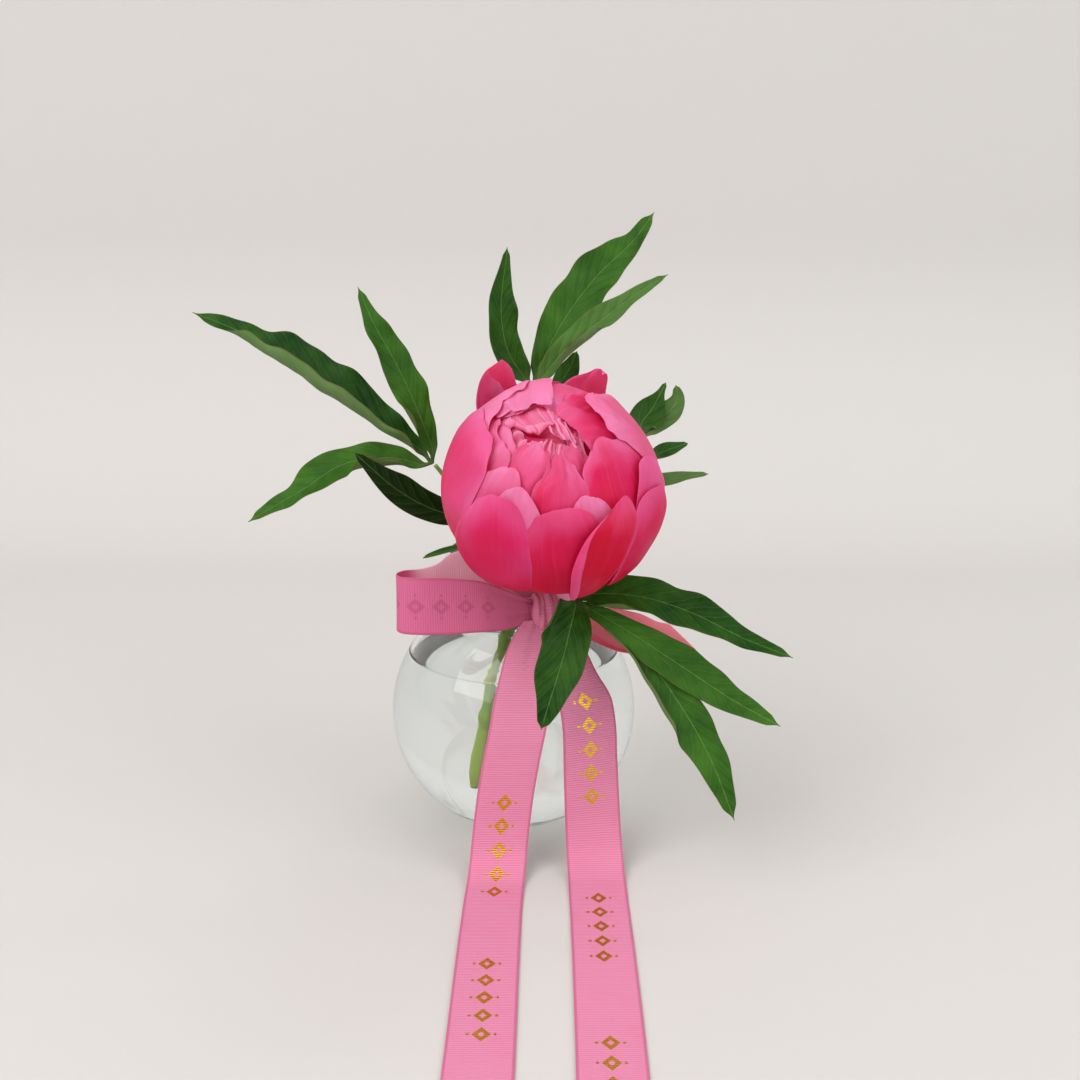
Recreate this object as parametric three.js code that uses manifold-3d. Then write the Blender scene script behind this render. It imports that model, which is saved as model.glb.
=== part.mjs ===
// A peony on its leafy stem in a round glass bud vase, with a ribbon bow round the vase's neck.
// Millimetres, +Z up. The origin is the middle of the vase's flat base.
import * as THREE from 'three';
import { mergeVertices } from 'three/addons/utils/BufferGeometryUtils.js';
import Module from 'manifold-3d';

const wasm = await Module();
wasm.setup();

// ---- driving dimensions ----
const FIT = 0.35;                   // clearance between pieces that touch

const BOWL_RADIUS = 58;             // outside of the round bowl
const BOWL_CENTRE = 54;             // height of the bowl's centre
const GLASS = 2.4;                  // wall of the glass
const BASE_RADIUS = 20;             // flat that the vase rests on
const BASE_GLASS = 8;               // glass under the water
const NECK_RADIUS = 27.8;           // outside of the short neck
const NECK_FOOT = 102.5;            // height where the bowl meets the neck
const RIM_RADIUS = 29.4;            // outside of the rolled rim
const RIM_TOP = 133;
const WATER_LEVEL = 82;

const STEM_RADIUS = 3.5;
const PETIOLE_RADIUS = 1.1;

const FLOWER_CENTRE = [18.3, -52, 174.6];
const FLOWER_NOD = 42;              // degrees from upright, towards the front
const CORE_RADIUS = 4.4;            // receptacle that the petals grow from
const CORE_OUTER = 46.2;            // where it starts and ends, from the flower's centre
const CORE_INNER = 17;
const PETAL_THICKNESS = 0.6;
const LEAF_THICKNESS = 0.8;

const RIBBON_WIDTH = 25;
const RIBBON_THICKNESS = 0.8;
const KNOT_CENTRE = [14.4, -33.6, 113];
const KNOT_SIZE = [7.6, 5, 9];      // half sizes: along the neck's curve, outwards, upwards
const TAIL_END = -236;              // how far forward both tails lie

const ROUND_SEGMENTS = 32;

// ---- colours ----
const finish = (color, roughness, extra = {}) => (
  new THREE.MeshStandardMaterial({ color, roughness, metalness: 0, ...extra })
);
const MATERIALS = {
  glass: finish(0xeef4f2, 0.04, { transparent: true, opacity: 0.3 }),
  water: finish(0xe6f1ec, 0.05, { transparent: true, opacity: 0.45 }),
  stem: finish(0x7f9a3c, 0.5),
  leaf: finish(0x2b6424, 0.45),
  outerPetal: finish(0xd2285c, 0.55),
  innerPetal: finish(0xe4578a, 0.6),
  centrePetal: finish(0xf08fae, 0.6),
  ribbon: finish(0xdc7aa8, 0.7),
};

// ---- small tools ----
const radians = THREE.MathUtils.degToRad;
const vector = (xyz) => new THREE.Vector3(...xyz);
const smoothPath = (points) => new THREE.CatmullRomCurve3(points.map(vector));

const peony = new THREE.Group();

function addPiece(name, geometry, material) {
  const mesh = new THREE.Mesh(geometry, material);
  mesh.name = name;
  peony.add(mesh);
}

// Joins the vertices that faces share, and leaves only positions.
function sealed(geometry) {
  geometry.deleteAttribute('normal');
  geometry.deleteAttribute('uv');
  return mergeVertices(geometry, 1e-4);
}

// Turns a closed geometry's faces outwards.
function facingOut(geometry) {
  const position = geometry.attributes.position;
  const index = geometry.index;
  const [a, b, c] = [new THREE.Vector3(), new THREE.Vector3(), new THREE.Vector3()];
  let volume = 0;
  for (let i = 0; i < index.count; i += 3) {
    a.fromBufferAttribute(position, index.getX(i));
    b.fromBufferAttribute(position, index.getX(i + 1));
    c.fromBufferAttribute(position, index.getX(i + 2));
    volume += a.dot(b.cross(c));
  }
  if (volume < 0) index.array.reverse();
  return geometry;
}

// A thin plate whose place(across, along, side) sets every vertex:
// across runs from -1 to 1, along from 0 to 1, and side is -0.5 or 0.5.
function bentPlate(acrossSteps, alongSteps, place) {
  const plate = sealed(new THREE.BoxGeometry(2, 1, 1, acrossSteps, alongSteps, 1));
  const position = plate.attributes.position;
  for (let i = 0; i < position.count; i += 1) {
    const at = place(position.getX(i), position.getY(i) + 0.5, position.getZ(i));
    position.setXYZ(i, at.x, at.y, at.z);
  }
  return facingOut(plate);
}

function roundRod(points, radius, sides, steps) {
  const section = new THREE.Shape();
  section.absarc(0, 0, radius, 0, 2 * Math.PI);
  const settings = { steps, curveSegments: sides, extrudePath: smoothPath(points) };
  return facingOut(sealed(new THREE.ExtrudeGeometry(section, settings)));
}

function turned(profile, segments) {
  const outline = profile.map(([radius, height]) => new THREE.Vector2(radius, height));
  return facingOut(sealed(new THREE.LatheGeometry(outline, segments).rotateX(Math.PI / 2)));
}

function solidOf(geometry) {
  const vertProperties = new Float32Array(geometry.attributes.position.array);
  const triVerts = new Uint32Array(geometry.index.array);
  return new wasm.Manifold(new wasm.Mesh({ numProp: 3, vertProperties, triVerts }));
}

function geometryOf(solid) {
  const mesh = solid.getMesh();
  const geometry = new THREE.BufferGeometry();
  geometry.setAttribute('position', new THREE.BufferAttribute(mesh.vertProperties, 3));
  geometry.setIndex(new THREE.BufferAttribute(mesh.triVerts, 1));
  return geometry;
}

// ---- vase and water ----
// Points on the bowl's curve, at the given radius, from one height to another.
function bowlArc(radius, fromHeight, toHeight, steps) {
  const from = Math.asin((fromHeight - BOWL_CENTRE) / radius);
  const to = Math.asin((toHeight - BOWL_CENTRE) / radius);
  return Array.from({ length: steps + 1 }, (unused, i) => {
    const angle = from + ((to - from) * i) / steps;
    return [radius * Math.cos(angle), BOWL_CENTRE + radius * Math.sin(angle)];
  });
}

function vaseGeometry() {
  const inner = BOWL_RADIUS - GLASS;
  const mouth = NECK_RADIUS - GLASS;
  return turned([
    [0, 0],
    [BASE_RADIUS, 0],
    ...bowlArc(BOWL_RADIUS, 1.5, NECK_FOOT - 1, 12),
    [NECK_RADIUS + 1.2, NECK_FOOT + 0.8],
    [NECK_RADIUS, NECK_FOOT + 2.3],
    [NECK_RADIUS, RIM_TOP - 2.4],
    [RIM_RADIUS, RIM_TOP - 1.6],
    [RIM_RADIUS - 0.6, RIM_TOP - 0.3],
    [RIM_RADIUS - 1.8, RIM_TOP],
    [mouth + 0.4, RIM_TOP - 0.6],
    [mouth, RIM_TOP - 2],
    [mouth, NECK_FOOT + 1],
    ...bowlArc(inner, NECK_FOOT - 1.6, BASE_GLASS + 3, 10),
    [BASE_RADIUS, BASE_GLASS],
    [0, BASE_GLASS],
  ], ROUND_SEGMENTS);
}

const STEM_PATH = [
  [-13, 10, 22],
  [-9.5, 6, 50],
  [-5.5, 2, 80],
  [1, -3.5, 104],
  [9, -9, 120],
  [14.5, -13.1, 131],
  [17.8, -18, 138],
  [18.8, -21, 140.6],
];

function waterGeometry() {
  const radius = BOWL_RADIUS - GLASS - 0.2 - FIT;
  const body = turned([
    [0, BASE_GLASS + FIT],
    [BASE_RADIUS, BASE_GLASS + FIT],
    ...bowlArc(radius, BASE_GLASS + 3.5, WATER_LEVEL, 9),
    [0, WATER_LEVEL],
  ], ROUND_SEGMENTS);
  const channel = roundRod(STEM_PATH, STEM_RADIUS + FIT, 5, 14);
  const below = vector(STEM_PATH[0]).addScaledVector(smoothPath(STEM_PATH).getTangent(0), -FIT);
  const channelEnd = roundRod([below.toArray(), STEM_PATH[0]], STEM_RADIUS + FIT, 5, 1);
  return geometryOf(solidOf(body).subtract(solidOf(channel)).subtract(solidOf(channelEnd)));
}

addPiece('vase', vaseGeometry(), MATERIALS.glass);
addPiece('water', waterGeometry(), MATERIALS.water);

// ---- flower frame ----
// Petals lie on rounds about the flower's centre. An azimuth turns about the flower's axis:
// 0 is down at the front, 90 is the right. A polar angle is 0 under the flower, 180 at its mouth.
const nod = radians(FLOWER_NOD);
const flowerCentre = vector(FLOWER_CENTRE);
const flowerAxis = new THREE.Vector3(0, -Math.sin(nod), Math.cos(nod));
const flowerFront = new THREE.Vector3(0, -Math.cos(nod), -Math.sin(nod));
const flowerRight = new THREE.Vector3(1, 0, 0);

// The direction at a polar angle and azimuth, swung sideways by an angle.
function petalDirection(polar, azimuth, swing) {
  const outward = flowerFront.clone().multiplyScalar(Math.cos(azimuth));
  outward.addScaledVector(flowerRight, Math.sin(azimuth));
  const sideways = flowerRight.clone().multiplyScalar(Math.cos(azimuth));
  sideways.addScaledVector(flowerFront, -Math.sin(azimuth));
  const along = flowerAxis.clone().multiplyScalar(-Math.cos(polar));
  along.addScaledVector(outward, Math.sin(polar));
  return along.multiplyScalar(Math.cos(swing)).addScaledVector(sideways, Math.sin(swing));
}

// How wide a petal is along its length, as a share of its full width.
function petalOutline(along, claw) {
  const widest = 0.62;
  if (along < widest) return claw + (1 - claw) * Math.sin((Math.PI / 2) * (along / widest));
  return Math.sqrt(1 - ((along - widest) / 0.41) ** 2);
}

// A petal: azimuth and lean turn it about the axis, tip is the polar angle it leaves uncovered
// at the mouth, flare lifts its tip and cup lifts its edges.
function petalGeometry({ azimuth, lean = 0, tip, radius, halfWidth, flare = 0, cup = 0 }) {
  const start = Math.asin((CORE_RADIUS + FIT + 0.7) / radius);
  const end = Math.PI - radians(tip);
  const claw = 2.3 / halfWidth;
  return bentPlate(3, 8, (across, along, side) => {
    const rounding = 0.1 * across * across * along ** 3;
    const polar = start + (end - start) * (along - rounding);
    const spin = radians(azimuth + lean * along);
    const swing = (across * halfWidth * petalOutline(along, claw)) / radius;
    const lift = flare * along ** 3 + cup * across * across * along;
    const distance = radius + lift + side * PETAL_THICKNESS;
    return petalDirection(polar, spin, swing).multiplyScalar(distance).add(flowerCentre);
  });
}

// ---- stem, with the receptacle that holds the petals ----
function stemGeometry() {
  const tube = roundRod(STEM_PATH, STEM_RADIUS, 5, 14);
  const receptacle = turned([
    [0, -CORE_OUTER - 1.5],
    [STEM_RADIUS, -CORE_OUTER - 1.5],
    [CORE_RADIUS, -CORE_OUTER + 2],
    [CORE_RADIUS, -CORE_OUTER + 14],
    [CORE_RADIUS - 0.8, -CORE_INNER - 4],
    [CORE_RADIUS - 2.4, -CORE_INNER],
    [0, -CORE_INNER + 1],
  ], 10);
  receptacle.rotateX(nod);
  receptacle.translate(...FLOWER_CENTRE);
  return geometryOf(solidOf(tube).add(solidOf(receptacle)));
}

addPiece('stem', stemGeometry(), MATERIALS.stem);

const SEPALS = [
  { azimuth: -70, tip: 128, radius: 48.5, halfWidth: 7 },
  { azimuth: 78, tip: 130, radius: 48.5, halfWidth: 6 },
  { azimuth: 180, tip: 126, radius: 48.5, halfWidth: 7.5 },
];
SEPALS.forEach((sepal, i) => {
  addPiece(`sepal_${i + 1}`, petalGeometry(sepal), MATERIALS.leaf);
});

const OUTER = 47.2;                 // radius of the outermost petals
const LAYER = 1.6;                  // step inwards to the next layer
const PETALS = {
  guard_petal_front_left: { azimuth: -32, tip: 44, layer: 0, halfWidth: 20.5 },
  guard_petal_front: { azimuth: 9, tip: 44, layer: 1, halfWidth: 19 },
  guard_petal_front_right: { azimuth: 20, lean: 26, tip: 52, layer: 0, halfWidth: 11, cup: 2, flare: 1.5 },
  guard_petal_right: { azimuth: 62, lean: 14, tip: 58, layer: 1, halfWidth: 16, flare: 4 },
  guard_petal_back_right: { azimuth: 114, tip: 60, layer: 2, halfWidth: 16 },
  guard_petal_top_right: { azimuth: 166, lean: -12, tip: 47, layer: 0, halfWidth: 12, flare: 6 },
  guard_petal_back: { azimuth: 184, tip: 64, layer: 1, halfWidth: 19 },
  guard_petal_top_left: { azimuth: -148, lean: -4, tip: 48, layer: 0, halfWidth: 10.4, flare: 9 },
  guard_petal_back_left: { azimuth: -118, tip: 62, layer: 2, halfWidth: 15 },
  guard_petal_left: { azimuth: -82, lean: -8, tip: 36, layer: 1, halfWidth: 20 },
  second_petal_right: { azimuth: 58, tip: 22, layer: 2, halfWidth: 20 },
  second_petal_top_right: { azimuth: 112, tip: 20, layer: 3, halfWidth: 18.6 },
  second_petal_top: { azimuth: -172, tip: 30, layer: 2, halfWidth: 20 },
  second_petal_left: { azimuth: -104, tip: 30, layer: 3, halfWidth: 18 },
  second_petal_front_left: { azimuth: -42, tip: 32, layer: 2, halfWidth: 18 },
  second_petal_front: { azimuth: 14, tip: 24, layer: 3, halfWidth: 18 },
  third_petal_front: { azimuth: -20, tip: 12, layer: 4, halfWidth: 14 },
  third_petal_right: { azimuth: 45, tip: 26, layer: 5, halfWidth: 15 },
  third_petal_back_right: { azimuth: 102, tip: 26, layer: 4, halfWidth: 14.6 },
  third_petal_back: { azimuth: 158, tip: 24, layer: 5, halfWidth: 15 },
  third_petal_back_left: { azimuth: -146, tip: 28, layer: 4, halfWidth: 15 },
  third_petal_left: { azimuth: -88, tip: 24, layer: 5, halfWidth: 15 },
};
for (const [name, { layer, ...shape }] of Object.entries(PETALS)) {
  const material = layer < 2 ? MATERIALS.outerPetal : MATERIALS.innerPetal;
  addPiece(name, petalGeometry({ radius: OUTER - LAYER * layer, ...shape }), material);
}

const CENTRE_PETALS = 6;
const CENTRE_OUTER = 36.4;          // radius of the first of the crumpled petals in the middle
const CENTRE_STEP = 2.2;
for (let i = 0; i < CENTRE_PETALS; i += 1) {
  const shape = {
    azimuth: 200 + 140 * i,
    tip: 8 + 2 * i,
    radius: CENTRE_OUTER - CENTRE_STEP * i,
    halfWidth: 12 - 0.8 * i,
  };
  addPiece(`centre_petal_${i + 1}`, petalGeometry(shape), MATERIALS.centrePetal);
}

// ---- leaves ----
// A leaflet follows a path from its base to its tip. facing is roughly where its upper side looks,
// and fold lifts its two halves about the midrib.
function leafletGeometry({ path, halfWidth, facing, fold = 0.3, widest = 0.42 }) {
  const curve = smoothPath(path);
  const up = vector(facing).normalize();
  const sharpness = Math.log(0.5) / Math.log(widest);
  return bentPlate(2, 8, (across, along, side) => {
    const at = curve.getPointAt(along);
    const sideways = new THREE.Vector3().crossVectors(curve.getTangentAt(along), up).normalize();
    const normal = new THREE.Vector3().crossVectors(sideways, curve.getTangentAt(along));
    const swell = Math.sin(Math.PI * (0.03 + 0.95 * along) ** sharpness);
    const reach = halfWidth * (0.05 + 0.95 * swell);
    at.addScaledVector(sideways, across * reach);
    return at.addScaledVector(normal, Math.abs(across) * reach * fold + side * LEAF_THICKNESS);
  });
}

const LEAFLETS = {
  leaflet_left_long: {
    path: [[-39.2, -3, 177.2], [-53, -3, 188], [-75, 0, 204], [-97, 4, 218], [-120, 8, 230], [-145, 12, 240]],
    halfWidth: 10.2,
    facing: [-0.1, -0.6, 0.8],
  },
  leaflet_left_upper: {
    path: [[-33.5, -4, 177], [-41, -5, 198], [-52, -3, 219], [-62, 0, 237], [-68, 3, 251]],
    halfWidth: 6.8,
    facing: [0.4, -0.9, 0.2],
  },
  leaflet_left_drooping: {
    path: [[-38.5, -10, 172.4], [-52, -13, 177.6], [-74, -18, 176], [-93, -24, 165], [-116, -28, 152]],
    halfWidth: 7.8,
    facing: [-0.2, -0.7, 0.7],
  },
  leaflet_left_dark: {
    path: [[-20, -10, 148], [-37, -18, 156], [-51, -24, 166], [-68, -32, 184]],
    halfWidth: 7.3,
    facing: [0.3, -0.9, 0.4],
  },
  leaflet_left_small: {
    path: [[-18, -9, 136.5], [-31, -10, 133.5], [-41, -12, 131]],
    halfWidth: 2.6,
    facing: [0, -0.3, 0.95],
  },
  leaflet_back_upright: {
    path: [[4.6, 9, 211], [-2, 8, 223], [-5, 8, 241], [-2, 10, 269]],
    halfWidth: 7.2,
    facing: [0.3, -0.95, 0.1],
  },
  leaflet_back_tall: {
    path: [[9.6, 11.5, 213], [22, 14, 234], [38, 20, 255], [56, 26, 272], [65, 30, 284]],
    halfWidth: 11,
    facing: [-0.3, -0.9, 0.3],
  },
  leaflet_back_narrow: {
    path: [[14.2, 5.4, 212.5], [24, 4, 224], [40, 5, 237], [55, 7, 248], [70, 10, 257]],
    halfWidth: 5.4,
    facing: [-0.2, -0.85, 0.5],
  },
  leaflet_back_small: {
    path: [[19, 20, 203], [26, 24, 212], [30, 26, 221]],
    halfWidth: 5,
    facing: [0, -1, 0.2],
  },
  leaflet_right_middle: {
    path: [[64, 1.4, 175.4], [70, 4, 177.5], [81, 8, 180.5]],
    halfWidth: 4,
    facing: [0, -0.6, 0.8],
  },
  leaflet_right_lower: {
    path: [[61.5, -3, 165], [68, -6, 165.5], [78, -6, 167.5], [89, -6, 169]],
    halfWidth: 3.8,
    facing: [0, -0.6, 0.8],
  },
  leaflet_front_drooping: {
    path: [[28, -50.5, 121.6], [26.4, -57, 115.6], [22, -66, 101], [17, -72, 86], [13, -74, 73]],
    halfWidth: 10.4,
    facing: [-0.1, -0.95, 0.3],
  },
  leaflet_front_right: {
    path: [[33.5, -46, 124.4], [55, -52, 125], [76, -58, 120], [99, -64, 110], [119, -68, 103]],
    halfWidth: 8,
    facing: [0, -0.75, 0.65],
  },
};
for (const [name, leaflet] of Object.entries(LEAFLETS)) {
  addPiece(name, leafletGeometry(leaflet), MATERIALS.leaf);
}

// Two leaflets are forked: their lobes grow from one base.
const FORKED_LEAFLETS = {
  leaflet_right_forked: {
    paths: [
      [[59.6, 4, 187], [57, 6, 194], [62, 8, 201], [70, 10, 207.5]],
      [[59.6, 4, 187], [67, 8, 192], [74.4, 10, 198], [76, 12, 206]],
    ],
    halfWidths: [6.4, 5.6],
    facing: [0, -0.9, 0.4],
  },
  leaflet_front_forked: {
    paths: [
      [[32.5, -49.5, 119.8], [55, -58, 108], [76, -66, 96], [94, -74, 86], [113, -80, 77]],
      [[32.5, -49.5, 119.8], [55, -60, 103], [72, -72, 83], [84, -82, 63], [94, -88, 38]],
    ],
    halfWidths: [8, 7.6],
    facing: [-0.1, -0.8, 0.6],
  },
};
for (const [name, { paths, halfWidths, facing }] of Object.entries(FORKED_LEAFLETS)) {
  const lobes = paths.map((path, i) => (
    solidOf(leafletGeometry({ path, halfWidth: halfWidths[i], facing, fold: 0 }))
  ));
  addPiece(name, geometryOf(lobes[0].add(lobes[1])), MATERIALS.leaf);
}

const PETIOLES = {
  petiole_left: [[9, -11.6, 129.5], [0, -8, 137], [-16, -5.5, 151], [-28, -5, 164], [-35, -5.6, 173]],
  petiole_back: [[13, -7.6, 130], [12.4, 3, 144], [11, 11, 172], [9.4, 9, 209]],
  petiole_right: [[20.6, -10.6, 130.4], [24.6, -8, 135.4], [35, -1, 143], [53, 3, 159], [59, 3, 173], [59.6, 3.6, 184.4]],
  petiole_front: [[20.7, -20.7, 134.6], [22, -24.4, 133.8], [24, -31, 129.6], [26, -38, 126.2], [27.8, -47.4, 122.6]],
};
for (const [name, path] of Object.entries(PETIOLES)) {
  addPiece(name, roundRod(path, PETIOLE_RADIUS, 3, 9), MATERIALS.stem);
}

// ---- ribbon ----
// A strip of ribbon through sections: its middle, the way its width runs, and its half width.
function ribbonGeometry(sections, steps) {
  const middle = smoothPath(sections.map(({ at }) => at));
  const width = smoothPath(sections.map(({ across, half }) => [...vector(across).setLength(half)]));
  return bentPlate(1, steps, (across, along, side) => {
    const at = middle.getPoint(along);
    const reach = width.getPoint(along);
    const normal = new THREE.Vector3().crossVectors(reach, middle.getTangent(along)).normalize();
    at.addScaledVector(reach, across);
    return at.addScaledVector(normal, side * RIBBON_THICKNESS);
  });
}

const FULL = RIBBON_WIDTH / 2;
const LOOP_LEFT = [
  { at: [5, -36, 113], across: [0, 0, 1], half: 6 },
  { at: [-2, -42, 115.9], across: [0, 0, 1], half: 9 },
  { at: [-13, -50.5, 119.9], across: [0, 0, 1], half: 11.5 },
  { at: [-27, -57, 122], across: [0, 0, 1], half: FULL },
  { at: [-39, -60, 123], across: [0, 0, 1], half: FULL },
  { at: [-46, -58, 123], across: [0, 0, 1], half: FULL },
  { at: [-48.4, -53.5, 123], across: [0, 0, 1], half: FULL },
  { at: [-46, -48.5, 123], across: [0, 0, 1], half: FULL },
  { at: [-38, -45, 122.4], across: [0, 0, 1], half: FULL },
  { at: [-25, -41.5, 120.4], across: [0, 0, 1], half: FULL },
  { at: [-12, -37.8, 118], across: [0, 0, 1], half: 11 },
  { at: [-3, -34.2, 115.3], across: [0, 0, 1], half: 8.5 },
  { at: [4.2, -32.4, 113.3], across: [0, 0, 1], half: 6 },
];
const LOOP_RIGHT = [
  { at: [24, -31.6, 114.4], across: [-0.3, 1, 0.3], half: 5 },
  { at: [34, -34, 113.6], across: [-0.2, 1, 0.2], half: 8 },
  { at: [48, -36, 110], across: [-0.2, 1, 0.1], half: 11 },
  { at: [62, -38, 105.6], across: [-0.2, 1, 0], half: FULL },
  { at: [72, -39, 102], across: [-0.2, 1, 0], half: FULL },
  { at: [76.4, -39.2, 98], across: [-0.2, 1, 0], half: FULL },
  { at: [72, -39, 94.4], across: [-0.2, 1, 0], half: FULL },
  { at: [60, -37.6, 93.6], across: [-0.2, 1, 0], half: FULL },
  { at: [46, -36, 96], across: [-0.2, 1, 0], half: 11 },
  { at: [33, -34, 101.6], across: [-0.2, 1, 0.1], half: 8 },
  { at: [25, -32, 108], across: [-0.3, 1, 0.2], half: 5 },
];
const TAIL_LEFT = [
  { at: [11.2, -39.8, 103], across: [0.95, 0.2, 0], half: 5.4 },
  { at: [9.4, -44.2, 97], across: [0.97, 0.1, 0], half: 7.8 },
  { at: [7.4, -48.8, 88], across: [1, 0, 0], half: 11 },
  { at: [5, -54, 78], across: [1, 0, 0], half: FULL },
  { at: [2.8, -58.4, 66], across: [1, 0, 0], half: FULL },
  { at: [0, -59.6, 52], across: [1, 0, 0], half: FULL },
  { at: [-2.6, -60, 36], across: [1, 0, 0], half: FULL },
  { at: [-4.6, -61, 20], across: [1, 0, 0], half: FULL },
  { at: [-5.8, -65, 8], across: [1, 0, 0], half: FULL },
  { at: [-6.6, -73, 2], across: [1, 0, 0], half: FULL },
  { at: [-7.2, -85, 0.7], across: [1, 0, 0], half: FULL },
  { at: [-8, -130, 0.7], across: [1, 0, 0], half: FULL },
  { at: [-8.4, -180, 0.7], across: [1, 0, 0], half: FULL },
  { at: [-9, TAIL_END, 0.7], across: [1, 0, 0], half: FULL },
];
const TAIL_RIGHT = [
  { at: [20.2, -34, 102.6], across: [0.9, 0.3, 0.2], half: 5 },
  { at: [25, -38.8, 96], across: [0.9, 0.35, 0.2], half: 6.9 },
  { at: [28, -46, 86], across: [0.92, 0.36, 0.1], half: 10.5 },
  { at: [32.4, -49.6, 76], across: [0.93, 0.36, 0], half: FULL },
  { at: [34.4, -51.6, 64], across: [0.94, 0.34, 0], half: FULL },
  { at: [35, -52.8, 50], across: [0.95, 0.3, 0], half: FULL },
  { at: [35.6, -53.8, 34], across: [0.97, 0.22, 0], half: FULL },
  { at: [36.3, -55.6, 18], across: [0.99, 0.12, 0], half: FULL },
  { at: [37, -60, 7.4], across: [1, 0.04, 0], half: FULL },
  { at: [37.4, -69, 2], across: [1, 0, 0], half: FULL },
  { at: [37.6, -82, 0.7], across: [1, 0, 0], half: FULL },
  { at: [37.8, -130, 0.7], across: [1, 0, 0], half: FULL },
  { at: [37.6, -180, 0.7], across: [1, 0, 0], half: FULL },
  { at: [37, TAIL_END, 0.7], across: [1, 0, 0], half: FULL },
];
addPiece('ribbon_loop_left', ribbonGeometry(LOOP_LEFT, 26), MATERIALS.ribbon);
addPiece('ribbon_loop_right', ribbonGeometry(LOOP_RIGHT, 24), MATERIALS.ribbon);
addPiece('ribbon_tail_left', ribbonGeometry(TAIL_LEFT, 26), MATERIALS.ribbon);
addPiece('ribbon_tail_right', ribbonGeometry(TAIL_RIGHT, 26), MATERIALS.ribbon);

function wrapGeometry() {
  const inner = NECK_RADIUS + FIT;
  const outer = inner + 1;
  const high = RIM_TOP - 2.8;
  const low = high - RIBBON_WIDTH;
  return turned([[inner, low], [outer, low], [outer, high], [inner, high], [inner, low]], ROUND_SEGMENTS);
}

function knotGeometry() {
  const knot = sealed(new THREE.SphereGeometry(1, 12, 8));
  knot.scale(...KNOT_SIZE);
  knot.rotateZ(Math.atan2(KNOT_CENTRE[1], KNOT_CENTRE[0]) + Math.PI / 2);
  knot.translate(...KNOT_CENTRE);
  return knot;
}

addPiece('ribbon_wrap', wrapGeometry(), MATERIALS.ribbon);
addPiece('ribbon_knot', knotGeometry(), MATERIALS.ribbon);

export default peony;
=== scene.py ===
"""Dresses a peony in a bud vase: the bloom, its leaves and stem, the glass with its water, and a bow.

Sizes in the classes are millimetres along the frame's own axes, and meshes are written in metres.
"""
import logging
import math
from dataclasses import dataclass, field
from enum import Enum

import bpy
import numpy as np
from mathutils import Matrix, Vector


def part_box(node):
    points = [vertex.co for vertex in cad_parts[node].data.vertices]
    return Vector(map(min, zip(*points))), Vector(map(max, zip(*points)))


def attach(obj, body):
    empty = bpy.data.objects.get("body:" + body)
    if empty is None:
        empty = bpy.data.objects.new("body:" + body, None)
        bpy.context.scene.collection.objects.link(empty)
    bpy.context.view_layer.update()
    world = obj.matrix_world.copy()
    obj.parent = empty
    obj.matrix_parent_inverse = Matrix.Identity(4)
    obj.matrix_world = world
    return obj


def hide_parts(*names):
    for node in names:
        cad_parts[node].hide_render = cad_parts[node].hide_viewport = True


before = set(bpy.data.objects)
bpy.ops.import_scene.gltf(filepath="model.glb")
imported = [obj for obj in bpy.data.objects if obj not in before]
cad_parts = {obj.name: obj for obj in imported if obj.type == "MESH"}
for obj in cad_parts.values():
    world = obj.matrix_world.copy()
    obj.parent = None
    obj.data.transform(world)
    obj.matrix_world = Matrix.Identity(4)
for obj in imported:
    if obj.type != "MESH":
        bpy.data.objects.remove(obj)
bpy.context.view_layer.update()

log = logging.getLogger("peony")

Array = np.ndarray
Chance = np.random.Generator
Point = tuple[float, float, float]

METRES = 0.001
VEIN_SLOPE = 1.9
BODY = "root"


# ---- shader tools
class Wire:
    """A node's output in shader maths: each operator adds a Math node."""

    def __init__(self, board: "Board", socket: bpy.types.NodeSocket | None) -> None:
        """Keep the board that the socket is on."""
        self.board = board
        self.socket = socket

    def __add__(self, other: "Wire | float") -> "Wire":
        """Return self + other."""
        return self.board.maths("ADD", self, other)

    def __radd__(self, other: float) -> "Wire":
        """Return other + self."""
        return self.board.maths("ADD", other, self)

    def __sub__(self, other: "Wire | float") -> "Wire":
        """Return self - other."""
        return self.board.maths("SUBTRACT", self, other)

    def __rsub__(self, other: float) -> "Wire":
        """Return other - self."""
        return self.board.maths("SUBTRACT", other, self)

    def __mul__(self, other: "Wire | float") -> "Wire":
        """Return self * other."""
        return self.board.maths("MULTIPLY", self, other)

    def __rmul__(self, other: float) -> "Wire":
        """Return other * self."""
        return self.board.maths("MULTIPLY", other, self)

    def __truediv__(self, other: "Wire | float") -> "Wire":
        """Return self / other."""
        return self.board.maths("DIVIDE", self, other)

    def __rtruediv__(self, other: float) -> "Wire":
        """Return other / self."""
        return self.board.maths("DIVIDE", other, self)

    def __abs__(self) -> "Wire":
        """Return the size of self."""
        return self.board.maths("ABSOLUTE", self)

    def clamped(self) -> "Wire":
        """Return self held between 0 and 1."""
        return self.board.maths("MAXIMUM", self.board.maths("MINIMUM", self, 1.0), 0.0)

    def sine(self) -> "Wire":
        """Return the sine of self."""
        return self.board.maths("SINE", self)

    def fraction(self) -> "Wire":
        """Return self less the whole number below it."""
        return self.board.maths("FRACT", self)

    def step(self, low: float, high: float) -> "Wire":
        """Return a smooth step from 0 at low to 1 at high."""
        sockets = {"Value": self, "From Min": low, "From Max": high}
        return self.board.add("ShaderNodeMapRange", {"interpolation_type": "SMOOTHSTEP"}, sockets)


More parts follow.
